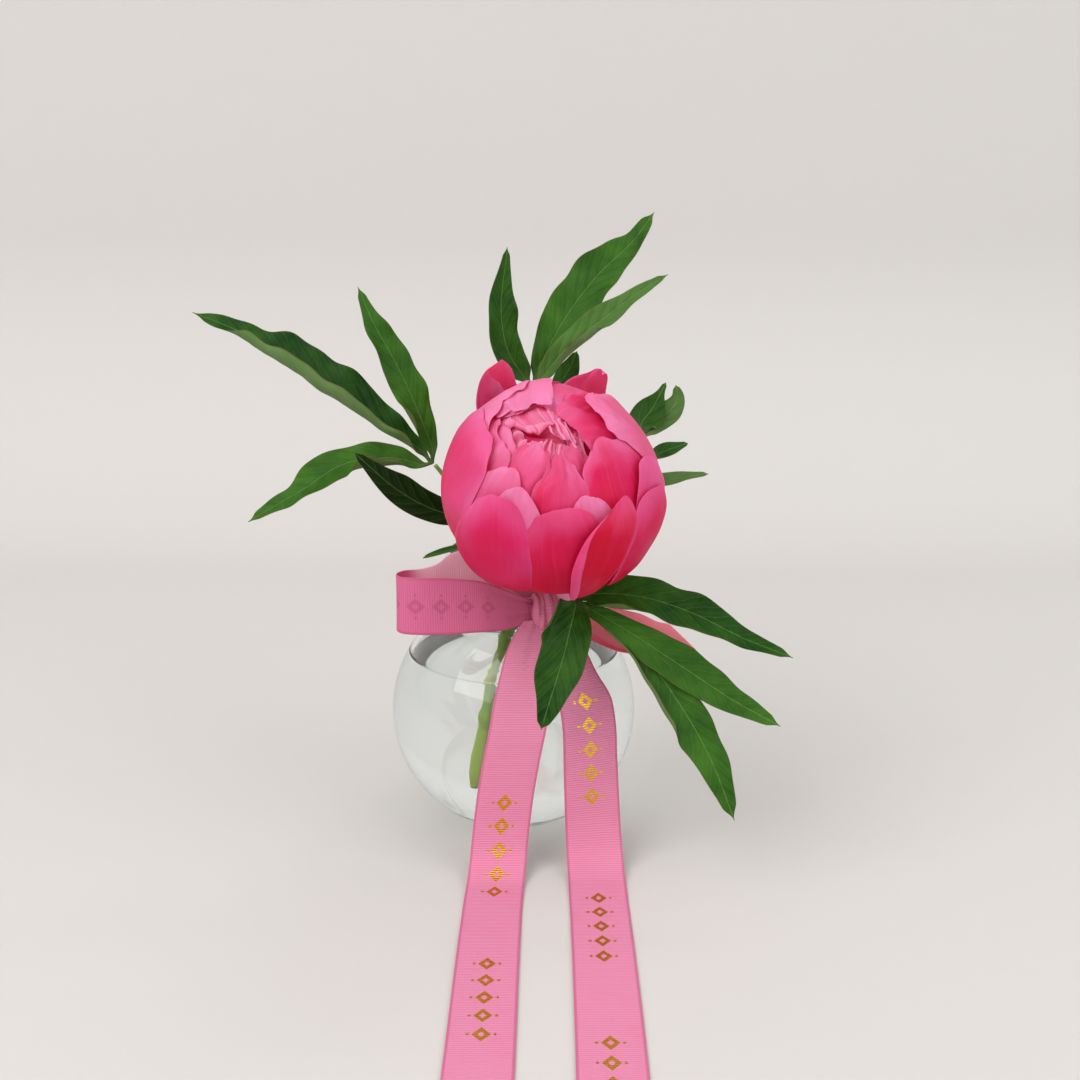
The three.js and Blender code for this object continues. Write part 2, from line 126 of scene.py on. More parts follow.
@dataclass(frozen=True)
class Tone:
    """A colour as seen on a screen, each part from 0 to 255."""

    red: float
    green: float
    blue: float

    def light(self) -> tuple[float, float, float, float]:
        """Turn the colour into linear light.

        Returns:
            Red, green, blue and a full alpha.
        """
        parts = [value / 255 for value in (self.red, self.green, self.blue)]
        linear = [v / 12.92 if v <= 0.04045 else ((v + 0.055) / 1.055) ** 2.4 for v in parts]
        return (linear[0], linear[1], linear[2], 1.0)


Setting = str | float | bool | list
Feed = Wire | float | tuple | Tone


class Board:
    """The nodes of one material, or of the room's light."""

    def __init__(self, owner: bpy.types.Material | bpy.types.World) -> None:
        """Start with no nodes.

        Args:
            owner: the material or world that the nodes belong to.
        """
        self.owner = owner
        owner.use_nodes = True
        self.tree = owner.node_tree
        self.tree.nodes.clear()

    def add(
        self,
        kind: str,
        settings: dict[str, Setting] | None = None,
        sockets: dict[str | int, Feed] | None = None,
        output: str | int = 0,
    ) -> Wire:
        """Add one node.

        Args:
            kind: the node's type.
            settings: its own settings, set first. "stops" holds a ramp's places and tones.
            sockets: values or wires for its inputs, by name or place.
            output: the output that the wire is taken from.

        Returns:
            A wire from the chosen output. It is empty where the node has no output.
        """
        node = self.tree.nodes.new(kind)
        for key, value in (settings or {}).items():
            if key == "stops":
                self.set_stops(node.color_ramp, value)
            else:
                setattr(node, key, value)
        for key, value in (sockets or {}).items():
            if isinstance(value, Wire):
                self.tree.links.new(value.socket, node.inputs[key])
            else:
                node.inputs[key].default_value = value.light() if isinstance(value, Tone) else value
        return Wire(self, node.outputs[output] if node.outputs else None)

    @staticmethod
    def set_stops(ramp: bpy.types.ColorRamp, stops: list[tuple[float, Tone]]) -> None:
        """Give a ramp its two stops, each a place and a tone."""
        for element, (place, tone) in zip(ramp.elements, stops):
            element.position, element.color = place, tone.light()

    def maths(self, operation: str, *values: Wire | float) -> Wire:
        """Add a Math node on one, two or three values."""
        return self.add("ShaderNodeMath", {"operation": operation}, dict(enumerate(values)))

    def mix(self, share: Wire | float, first: Feed, second: Feed) -> Wire:
        """Blend two colours, the share being how much of the second shows."""
        settings = {"data_type": "RGBA", "clamp_factor": True}
        return self.add("ShaderNodeMix", settings, {0: share, 6: first, 7: second}, output=2)

    def number(self, name: str) -> Wire:
        """Read a number kept on the mesh's points."""
        return self.add("ShaderNodeAttribute", {"attribute_name": name}, output="Fac")

    def vector(self, name: str, scale: Point = (1.0, 1.0, 1.0)) -> Wire:
        """Read a vector kept on the mesh's points, scaled along each axis."""
        raw = self.add("ShaderNodeAttribute", {"attribute_name": name}, output="Vector")
        return self.add("ShaderNodeVectorMath", {"operation": "MULTIPLY"}, {0: raw, 1: scale})

    def noise(self, place: Wire, scale: float, detail: float = 3.0, rough: float = 0.5) -> Wire:
        """Add soft noise about 0.5 at a place."""
        sockets = {"Vector": place, "Scale": scale, "Detail": detail, "Roughness": rough}
        return self.add("ShaderNodeTexNoise", {}, sockets)

    def bump(self, height: Wire, millimetres: float, strength: float = 1.0) -> Wire:
        """Turn a height from 0 to 1 into a normal, the full height being some millimetres."""
        sockets = {"Strength": strength, "Distance": millimetres * METRES, "Height": height}
        return self.add("ShaderNodeBump", {}, sockets)

    def glow_through(self, surface: Wire, tone: Feed, share: float) -> Wire:
        """Let some light through a thin surface, in a tone of its own."""
        through = self.add("ShaderNodeBsdfTranslucent", {}, {"Color": tone})
        return self.add("ShaderNodeMixShader", {}, {0: share, 1: surface, 2: through})

    def skin(self, **sockets: Feed) -> Wire:
        """Add the main surface, a socket's name being written with _ for each space."""
        named = {name.replace("_", " "): value for name, value in sockets.items()}
        return self.add("ShaderNodeBsdfPrincipled", {}, named)

    def done(
        self, surface: Wire, output: str = "ShaderNodeOutputMaterial"
    ) -> bpy.types.Material | bpy.types.World:
        """Join the surface to the output node and return what owns the nodes."""
        self.add(output, {}, {"Surface": surface})
        return self.owner


# ---- finishes
@dataclass(frozen=True)
class PetalFinish:
    """Satin petal: deep at the foot, paler at the rim, with fine streaks that fan from the claw, and painted
    light and shade from the pale number on its points.
    """

    name: str
    deep: Tone
    body: Tone
    rim: Tone
    inside: Tone
    rim_share: float
    through: float
    wrinkle: float
    # Strength of a faint emission in the body tone: a painted glow that lifts the shade between petals.
    emitted_glow: float
    lit: Tone = Tone(252, 30, 84)

    def material(self) -> bpy.types.Material:
        """Build the petal's material.

        Returns:
            The new material.
        """
        board = Board(bpy.data.materials.new(self.name))
        along = board.number("along")
        edge = board.number("edge")
        inner = board.number("inner")
        fan = board.vector("fan")
        flat = board.vector("flat")
        cloud = board.noise(flat, 0.055, 3.0, 0.55)
        streak = board.noise(fan, 1.0, 4.0, 0.6)
        vein = board.noise(board.vector("fan", (2.6, 0.35, 1.0)), 1.0, 2.0, 0.5)
        pale = board.number("pale")
        # Deep at the foot, the body tone above: partly the petal's own darker base, partly painted shade in
        # the crevices where petals meet.
        lift = along.step(0.25, 1.0) + (cloud - 0.5) * 1.2
        tone = board.mix(lift.clamped(), self.deep, self.body)
        tone = board.mix(inner * 0.6, tone, self.inside)
        # Below 0 the pale number deepens the petal towards the deep tone: painted shade.
        tone = board.mix((0.0 - pale).clamped(), tone, self.deep)
        # Paler towards the rim tone at the edges. The cloudy patches are partly the petal's own mottling and
        # partly painted highlight, and the pale number above 0 is painted light.
        glow = edge * self.rim_share + (cloud - 0.45) * (edge * 0.6 + 0.6) + pale.clamped()
        tone = board.mix(glow.clamped(), tone, self.rim)
        tone = board.mix(streak.step(0.48, 0.75) * 0.08, tone, self.rim)
        tone = board.mix(vein.step(0.5, 0.75) * 0.08, tone, self.deep)
        crease = streak * 0.7 + vein * 0.3
        skin = board.skin(
            Base_Color=tone,
            Roughness=0.44 + 0.16 * streak,
            Normal=board.bump(crease, self.wrinkle, 0.7),
            Subsurface_Weight=0.3,
            Subsurface_Radius=(1.0, 0.2, 0.35),
            Subsurface_Scale=2.0 * METRES,
            Specular_IOR_Level=0.2,
            # Painted glow: a faint emission in the body tone, standing in for light scattered between the
            # petals.
            Emission_Color=self.body,
            Emission_Strength=self.emitted_glow,
        )
        return board.done(board.glow_through(skin, self.lit, self.through))


@dataclass(frozen=True)
class LeafFinish:
    """Leathery leaf: fine pale veins that sweep forward, a paler underside and a brown margin."""

    name: str
    vein_step: float
    dark: Tone = Tone(12, 56, 4)
    fresh: Tone = Tone(62, 112, 26)
    shade: Tone = Tone(18, 32, 12)
    vein: Tone = Tone(120, 156, 84)
    under: Tone = Tone(100, 128, 76)
    margin: Tone = Tone(104, 78, 46)
    lit: Tone = Tone(74, 132, 10)
    through: float = 0.1
    roughness: float = 0.38
    gloss: float = 0.14

    def material(self) -> bpy.types.Material:
        """Build the leaf's material.

        Returns:
            The new material.
        """
        board = Board(bpy.data.materials.new(self.name))
        wide = board.number("wide")
        long = board.number("long")
        under = board.number("under")
        fresh = board.number("fresh")
        flat = board.vector("flat")
        cloud = board.noise(flat, 0.05, 3.0, 0.6)
        grain = board.noise(flat, 0.9, 3.0, 0.6)
        wander = (board.noise(flat, 0.12, 2.0) - 0.5) * 5.0
        reach = abs(wide)
        order = (long - reach * VEIN_SLOPE + wander) / self.vein_step
        distance = abs(order.fraction() - 0.5) * self.vein_step
        side_vein = 1.0 - distance.step(0.1, 0.42)
        midrib = 1.0 - reach.step(0.12, 0.34)
        cells = {"Vector": flat, "Scale": 0.5}
        small = board.add("ShaderNodeTexVoronoi", {"feature": "DISTANCE_TO_EDGE"}, cells)
        net = 1.0 - small.step(0.0, 0.07)
        veins = (side_vein * 0.6 + midrib + net * 0.2).clamped()
        quilt = (order.fraction() * math.pi).sine()
        # The fresh number lifts a leaflet towards the fresh green and, below 0, darkens it towards the shade
        # tone: partly the leaflet's own tone, partly painted light and painted shade.
        fill = cloud * 1.5 - 0.62 + grain * 0.2 - quilt * 0.1 + fresh
        top = board.mix(fill.clamped(), self.dark, self.fresh)
        top = board.mix((0.0 - fresh).clamped(), top, self.shade)
        top = board.mix((side_vein * 0.16 + midrib * 0.36 + net * 0.03).clamped(), top, self.vein)
        below = board.mix(cloud.step(0.3, 0.8) * 0.3, self.under, self.fresh)
        below = board.mix(veins * 0.4, below, self.vein)
        tone = board.mix((under + board.number("pale")).clamped(), top, below)
        tone = board.mix(board.number("edge").step(0.3, 0.8) * 0.5, tone, self.margin)
        height = quilt * 0.5 + grain * 0.1 + cloud * 0.5 - veins * 0.35
        skin = board.skin(
            Base_Color=tone,
            Roughness=(self.roughness + 0.2 * grain + 0.2 * under).clamped(),
            Normal=board.bump(height, 0.5, 0.8),
            Specular_IOR_Level=self.gloss,
        )
        return board.done(board.glow_through(skin, self.lit, self.through))


@dataclass(frozen=True)
class StalkFinish:
    """Smooth fresh stem, greener above and yellower towards its cut end."""

    name: str
    green: Tone
    yellow: Tone
    blush: Tone
    turn_low: float = 20.0
    turn_high: float = 80.0

    def material(self) -> bpy.types.Material:
        """Build the stem's material.

        Returns:
            The new material.
        """
        board = Board(bpy.data.materials.new(self.name))
        place = board.add("ShaderNodeTexCoord", output="Object")
        rise = board.add("ShaderNodeSeparateXYZ", {}, {"Vector": place}, output="Z")
        height = rise * (1.0 / METRES)
        long = board.vector("flat", (1.4, 0.09, 1.0))
        fibre = board.noise(long, 1.0, 4.0, 0.6)
        cloud = board.noise(place, 90.0, 3.0, 0.6)
        turn = (height.step(self.turn_low, self.turn_high) + (cloud - 0.5) * 0.5).clamped()
        tone = board.mix(turn, self.yellow, self.green)
        tone = board.mix(fibre.step(0.45, 0.75) * 0.3, tone, self.yellow)
        # Brownish blotches by noise: the stem's own colour.
        tone = board.mix(cloud.step(0.58, 0.78) * 0.35, tone, self.blush)
        skin = board.skin(
            Base_Color=tone,
            Roughness=0.34 + 0.2 * fibre,
            Normal=board.bump(fibre, 0.2, 0.6),
            Subsurface_Weight=0.15,
            Subsurface_Radius=(0.6, 1.0, 0.2),
            Subsurface_Scale=1.2 * METRES,
        )
        return board.done(skin)


@dataclass(frozen=True)
class ClearFinish:
    """Glass or water: it bends light, and lets the light of lamps straight through."""

    name: str
    tone: Tone
    bend: float
    shade: Tone
    gloss: float = 0.3

    def material(self) -> bpy.types.Material:
        """Build the clear material.

        Returns:
            The new material.
        """
        board = Board(bpy.data.materials.new(self.name))
        body = board.skin(
            Base_Color=self.tone,
            Roughness=0.0,
            IOR=self.bend,
            Transmission_Weight=1.0,
            Specular_IOR_Level=self.gloss,
        )
        clear = board.add("ShaderNodeBsdfTransparent", {}, {"Color": self.shade})
        lamp = board.add("ShaderNodeLightPath", output="Is Shadow Ray")
        return board.done(board.add("ShaderNodeMixShader", {}, {0: lamp, 1: body, 2: clear}))


class Foil(Enum):
    """How a ribbon's gold lozenges show."""

    NONE = "none"
    UNDERSIDE = "underside"
    THROUGH = "through"


@dataclass(frozen=True)
class RibbonFinish:
    """Ribbed woven ribbon with a soft lustre, painted shade in the grooves of its ribs, and a row of small
    gold lozenges.
    """

    name: str
    crest: Tone = Tone(240, 162, 194)
    groove: Tone = Tone(224, 128, 166)
    glow: Tone = Tone(240, 116, 150)
    gold: Tone = Tone(238, 192, 70)
    seam: Tone = Tone(198, 84, 130)
    # The next tone is painted light: the ribbon lit through from behind.
    pale: Tone = Tone(255, 222, 234)
    shadow: Tone = Tone(160, 62, 104)
    through: float = 0.24
    # Past this length the ribbon turns to that tone: painted light on the back strand.
    backlit_pale_after: float = 0.0
    rib: float = 1.05
    half_width: float = 12.5
    foil: Foil = Foil.NONE
    group_start: float = 40.0
    group_step: float = 98.0
    group_length: float = 54.5
    lozenge_step: float = 11.0

    def lozenges(self, wide: Wire, long: Wire) -> Wire:
        """Mark a group of lozenges along the middle of the ribbon.

        Args:
            wide: millimetres from the ribbon's middle.
            long: millimetres along it.

        Returns:
            A mask that is 1 on the lozenges.
        """
        past = long - self.group_start
        cycle = (past / self.group_step).fraction() * self.group_step
        group = (1.0 - cycle.step(self.group_length, self.group_length + 0.5)) * past.step(-0.5, 0.0)
        cell = (cycle / self.lozenge_step).fraction() * self.lozenge_step - self.lozenge_step / 2
        big = abs(wide) / 3.6 + abs(cell) / 4.2
        small = abs(abs(wide) - 5.0) / 0.9 + abs(cell) / 0.9
        hollow = big.step(0.34, 0.4)
        mark = (1.0 - big.step(0.96, 1.0)) * hollow + (1.0 - small.step(0.9, 1.0))
        return mark.clamped() * group

    def material(self) -> bpy.types.Material:
        """Build the ribbon's material.

        Returns:
            The new material.
        """
        board = Board(bpy.data.materials.new(self.name))
        wide = board.number("wide")
        long = board.number("long")
        wave = (long * (2 * math.pi / self.rib)).sine() * 0.5 + 0.5
        flat = board.vector("flat")
        thread = board.noise(board.vector("flat", (5.0, 0.7, 1.0)), 1.0, 3.0, 0.6)
        cloud = board.noise(flat, 0.06, 3.0, 0.5)
        selvedge = abs(wide).step(self.half_width - 1.15, self.half_width - 0.85)
        # Lighter on the rib crests and darker in the grooves: painted shade of the ribs, with the thread's
        # own unevenness.
        tone = board.mix((wave * 0.75 + thread * 0.45 - 0.15).clamped(), self.groove, self.crest)
        tone = board.mix(((cloud - 0.5) * 0.8).clamped(), tone, self.glow)
        tone = board.mix(selvedge * (0.35 + 0.4 * thread), tone, self.seam)
        # Past a given length the ribbon is painted pale: painted light through the back strand from behind.
        if self.backlit_pale_after:
            backlit_pale = long.step(self.backlit_pale_after, self.backlit_pale_after + 8.0) * 0.8
            tone = board.mix(backlit_pale, tone, self.pale)
        weave = wave * (1.0 - selvedge * 0.7) + thread * 0.4
        roughness = 0.5 + 0.16 * thread
        metal: Wire | float = 0.0
        if self.foil is Foil.THROUGH:
            mark = self.lozenges(wide, long)
            tone = board.mix(mark * 0.4, tone, self.shadow)
        elif self.foil is Foil.UNDERSIDE:
            mark = self.lozenges(wide, long) * board.number("under")
            metal = mark * (1.0 - thread.step(0.6, 0.74) * 0.6)
            tone = board.mix(metal, tone, self.gold)
            roughness = 0.52 + 0.16 * thread - metal * 0.3
        skin = board.skin(
            Base_Color=tone,
            Roughness=roughness.clamped(),
            Metallic=metal,
            Normal=board.bump(weave, 0.09, 0.6),
            Specular_IOR_Level=0.35,
            Sheen_Weight=0.3,
            Sheen_Roughness=0.35,
            Sheen_Tint=self.crest,
        )
        return board.done(board.glow_through(skin, self.glow, self.through))


@dataclass(frozen=True)
class StageFinish:
    """Plain pale paper for the floor and backdrop."""

    name: str
    tone: Tone

    def material(self) -> bpy.types.Material:
        """Build the paper's material.

        Returns:
            The new material.
        """
        board = Board(bpy.data.materials.new(self.name))
        place = board.add("ShaderNodeTexCoord", output="Object")
        tooth = board.noise(place, 60.0, 2.0)
        tone = board.mix(tooth * 0.05, self.tone, Tone(180, 177, 172))
        return board.done(board.skin(Base_Color=tone, Roughness=0.75, Specular_IOR_Level=0.2))


# ---- shape tools
def unit(vectors: Array) -> Array:
    """Return the vectors at a length of 1."""
    return vectors / np.maximum(np.linalg.norm(vectors, axis=-1, keepdims=True), 1e-9)


def smooth(value: Array, low: float, high: float) -> Array:
    """Return a smooth step from 0 at low to 1 at high."""
    share = np.clip((value - low) / (high - low), 0.0, 1.0)
    return share * share * (3.0 - 2.0 * share)


def crowded(count: int, inset: float) -> Array:
    """Return even places from -1 to 1 with one more just inside each end."""
    return np.sort(np.concatenate([np.linspace(-1.0, 1.0, count), [inset - 1.0, 1.0 - inset]]))


def sheet_places(
    columns: int, rows: int, side_inset: float = 0.012, end_inset: float = 0.012
) -> tuple[Array, Array]:
    """Lay out a sheet's places, with one more just inside each margin.

    Args:
        columns: how many even places there are across.
        rows: how many there are along.
        side_inset: how far inside the sides the added columns lie.
        end_inset: how far inside the ends the added rows lie.

    Returns:
        Places across from -1 to 1 and along from 0 to 1, each as a grid.
    """
    return np.meshgrid(crowded(columns, side_inset), (crowded(rows, end_inset) + 1) / 2)


class SmoothPath:
    """A curve through points, the same as the part's own paths."""

    def __init__(self, points: list[tuple[float, ...]] | Array) -> None:
        """Keep the points, with one more before the first and after the last.

        Args:
            points: places that the curve goes through, each with as many numbers as the others.
        """
        inner = np.asarray(points, dtype=float)
        first = 2 * inner[0] - inner[1]
        last = 2 * inner[-1] - inner[-2]
        self.points = np.vstack([first, inner, last])
        self.spans = len(inner) - 1
        fine = np.linspace(0.0, 1.0, 801)
        steps = np.linalg.norm(np.diff(self.at(fine), axis=0), axis=1)
        self.fine = fine
        self.travel = np.concatenate([[0.0], np.cumsum(steps)])
        self.length = float(self.travel[-1])

    def at(self, share: Array) -> Array:
        """Find points on the curve.

        Args:
            share: places from 0 to 1, each span taking an equal part.

        Returns:
            A point for each place.
        """
        place = np.clip(share, 0.0, 1.0) * self.spans
        span = np.minimum(place.astype(int), self.spans - 1)
        part = (place - span)[:, None]
        p0, p1, p2, p3 = (self.points[span + i] for i in range(4))
        gaps = [np.linalg.norm(b - a, axis=1) ** 0.5 for a, b in ((p0, p1), (p1, p2), (p2, p3))]
        middle = np.where(gaps[1] < 1e-4, 1.0, gaps[1])[:, None]
        before = np.where(gaps[0] < 1e-4, middle[:, 0], gaps[0])[:, None]
        after = np.where(gaps[2] < 1e-4, middle[:, 0], gaps[2])[:, None]
        leave = (p1 - p0) / before - (p2 - p0) / (before + middle) + (p2 - p1) / middle
        enter = (p2 - p1) / middle - (p3 - p1) / (middle + after) + (p3 - p2) / after
        leave, enter = leave * middle, enter * middle
        square = -3 * p1 + 3 * p2 - 2 * leave - enter
        cube = 2 * p1 - 2 * p2 + leave + enter
        return p1 + leave * part + square * part**2 + cube * part**3

    def evenly(self, share: Array) -> Array:
        """Return points at equal shares of the curve's length."""
        return self.at(self.share_at(share))

    def share_at(self, share: Array) -> Array:
        """Return the places that lie at shares of the curve's length."""
        return np.interp(np.asarray(share) * self.length, self.travel, self.fine)

    def tangents(self, share: Array) -> Array:
        """Return the direction of travel at places from 0 to 1."""
        step = 1e-3
        return unit(self.at(np.minimum(share + step, 1.0)) - self.at(np.maximum(share - step, 0.0)))


def grid_normals(middle: Array) -> Array:
    """Return the normals of a grid of points, rows along and columns across."""
    return unit(np.cross(np.gradient(middle, axis=1), np.gradient(middle, axis=0)))


def mesh_object(name: str, points: Array, quads: Array) -> bpy.types.Object:
    """Make a smooth mesh object.

    Args:
        name: the object's name.
        points: its points in millimetres.
        quads: four point numbers a face; a triangle repeats its last.

    Returns:
        The new object, linked to the scene.
    """
    mesh = bpy.data.meshes.new(name)
    faces = [row[:3] if row[2] == row[3] else row for row in quads.tolist()]
    mesh.from_pydata((points * METRES).tolist(), [], faces)
    mesh.polygons.foreach_set("use_smooth", np.ones(len(mesh.polygons), dtype=bool))
    mesh.update()
    thing = bpy.data.objects.new(name, mesh)
    bpy.context.scene.collection.objects.link(thing)
    return thing


def keep_numbers(thing: bpy.types.Object, name: str, values: Array) -> None:
    """Keep values on a mesh's points.

    Args:
        thing: the object.
        name: the values' name, as its finish reads it.
        values: a number, or a vector of three, for each point.
    """
    kind, key = ("FLOAT", "value") if values.ndim == 1 else ("FLOAT_VECTOR", "vector")
    layer = thing.data.attributes.new(name, kind, "POINT")
    layer.data.foreach_set(key, np.ascontiguousarray(values, dtype=np.float32).ravel())


Parts = tuple[Array, Array, dict[str, Array]]


@dataclass
class Plate:
    """A thin closed plate over a grid of points, named after the node that it stands for."""

    name: str
    middle: Array
    thickness: float | Array
    top_relief: Array | float = 0.0
    under_relief: Array | float = 0.0
    numbers: dict[str, Array] = field(default_factory=dict)
    side_name: str = "under"

    def build(self) -> Parts:
        """Work out the plate's points, faces and the numbers on its points.

        Returns:
            The points, the quads, and the numbers by name.
        """
        rows, columns = self.middle.shape[:2]
        normals = grid_normals(self.middle)
        half = np.broadcast_to(np.asarray(self.thickness) / 2, (rows, columns))
        top = self.middle + normals * (half + self.top_relief)[..., None]
        under = self.middle - normals * (half - self.under_relief)[..., None]
        points = np.concatenate([top.reshape(-1, 3), under.reshape(-1, 3)])
        place = np.arange(rows * columns).reshape(rows, columns)
        a, b = place[:-1, :-1].ravel(), place[:-1, 1:].ravel()
        c, d = place[1:, 1:].ravel(), place[1:, :-1].ravel()
        below = rows * columns
        rim = np.concatenate([place[0, :-1], place[:-1, -1], place[-1, :0:-1], place[:0:-1, 0]])
        nxt = np.roll(rim, -1)
        quads = np.concatenate(
            [
                np.stack([a, b, c, d], axis=1),
                np.stack([d, c, b, a], axis=1) + below,
                np.stack([nxt, rim, rim + below, nxt + below], axis=1),
            ]
        )
        numbers = {}
        for key, values in self.numbers.items():
            flat = values.reshape(below, -1) if values.ndim == 3 else values.ravel()
            numbers[key] = np.concatenate([flat, flat])
        numbers[self.side_name] = np.concatenate([np.zeros(below), np.ones(below)])
        return points, quads, numbers


def joined_object(name: str, parts: list[Parts]) -> bpy.types.Object:
    """Join plates or tubes into one object.

    Args:
        name: the object's name.
        parts: the points, quads and numbers of each, with the same names for the numbers.

    Returns:
        The new object.
    """
    starts = np.cumsum([0] + [len(points) for points, _, _ in parts])
    points = np.concatenate([points for points, _, _ in parts])
    quads = np.concatenate([quads + start for (_, quads, _), start in zip(parts, starts)])
    thing = mesh_object(name, points, quads)
    for key in parts[0][2]:
        keep_numbers(thing, key, np.concatenate([numbers[key] for _, _, numbers in parts]))
    return thing


def capped_rings(rings: int, sides: int) -> Array:
    """List the faces of a closed tube.

    Args:
        rings: how many rings of points it has. Two more points follow them, one for each end.
        sides: how many points a ring has.

    Returns:
        Four point numbers a face; a triangle repeats its last.
    """
    place = np.arange(rings * sides).reshape(rings, sides)
    turn = np.roll(place, -1, axis=1)
    walls = np.stack([place[:-1], turn[:-1], turn[1:], place[1:]], axis=-1).reshape(-1, 4)
    first = np.full(sides, rings * sides)
    foot = np.stack([turn[0], place[0], first, first], axis=1)
    head = np.stack([place[-1], turn[-1], first + 1, first + 1], axis=1)
    return np.concatenate([walls, foot, head])


def tube(centres: Array, radii: Array, sides: int) -> Parts:
    """Work out a closed round tube.

    Args:
        centres: points along its middle.
        radii: its radius at each, as one column a side or one for all.
        sides: how many sides it has.

    Returns:
        Its points, its quads, and as "flat" the millimetres round and along it.
    """
    tangents = unit(np.gradient(centres, axis=0))
    reference = np.zeros_like(tangents)
    start = np.array([1.0, 0.0, 0.0]) if abs(tangents[0, 0]) < 0.8 else np.array([0.0, 1.0, 0.0])
    for i, tangent in enumerate(tangents):
        start = start - tangent * np.dot(start, tangent)
        start = start / np.linalg.norm(start)
        reference[i] = start
    other = np.cross(tangents, reference)
    angle = np.linspace(0.0, 2 * np.pi, sides, endpoint=False)
    reach = np.broadcast_to(radii.reshape(len(centres), -1), (len(centres), sides))[..., None]
    level, rise = np.cos(angle)[None, :, None], np.sin(angle)[None, :, None]
    ring = level * reference[:, None] + rise * other[:, None]
    body = centres[:, None] + ring * reach
    points = np.concatenate([body.reshape(-1, 3), centres[:1], centres[-1:]])
    travel = np.concatenate([[0.0], np.cumsum(np.linalg.norm(np.diff(centres, axis=0), axis=1))])
    flat = np.zeros((len(points), 3))
    flat[:-2, 0] = np.tile(np.sin(angle) * 3.0, len(centres))
    flat[:-2, 2] = np.tile(np.cos(angle) * 3.0, len(centres))
    flat[:-2, 1] = np.repeat(travel, sides)
    flat[-1, 1] = travel[-1]
    return points, capped_rings(len(centres), sides), {"flat": flat}


def circle_points(centre: tuple[float, float], radius: float, angles: Array) -> list[list[float]]:
    """Return the points of a circle at angles in radians."""
    return [[centre[0] + radius * math.cos(a), centre[1] + radius * math.sin(a)] for a in angles]


def turned_object(name: str, profile: Array, sides: int) -> bpy.types.Object:
    """Turn a profile about the upright axis into a closed object.

    Args:
        name: the object's name.
        profile: radius and height pairs that start and end on the axis.
        sides: how many steps there are round it.

    Returns:
        The new object.
    """
    angle = np.linspace(0.0, 2 * np.pi, sides, endpoint=False)
    inner = profile[1:-1]
    ring = np.stack([np.cos(angle), np.sin(angle)], axis=1)
    heights = np.broadcast_to(inner[:, None, 1:], (len(inner), sides, 1))
    body = np.concatenate([inner[:, None, :1] * ring[None], heights], axis=-1)
    ends = np.array([[0.0, 0.0, profile[0, 1]], [0.0, 0.0, profile[-1, 1]]])
    points = np.concatenate([body.reshape(-1, 3), ends])
    return mesh_object(name, points, capped_rings(len(inner), sides))


def dress(thing: bpy.types.Object, finish: bpy.types.Material, slot: str, *nodes: str) -> None:
    """Give a piece its material and its body, and hide the nodes that it stands for.

    Args:
        thing: the piece.
        finish: its material.
        slot: not used.
        nodes: the part's nodes that it replaces.
    """
    thing.data.materials.append(finish)
    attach(thing, BODY)
    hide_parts(*nodes)
    log.info("%s: %d faces", thing.name, len(thing.data.polygons))


def dress_plates(plates: list[Plate], finish: bpy.types.Material, slot: str) -> list[bpy.types.Object]:
    """Make one piece from the plates of each name, and dress it as the node of that name.

    Args:
        plates: the plates.
        finish: their material.
        slot: passed on to dress, which does not use it.

    Returns:
        The pieces.
    """
    lobes: dict[str, list[Plate]] = {}
    for plate in plates:
        lobes.setdefault(plate.name, []).append(plate)
    things = []
    for name, group in lobes.items():
        thing = joined_object(name + "_dressed", [plate.build() for plate in group])
        dress(thing, finish, slot, name)
        things.append(thing)
    return things


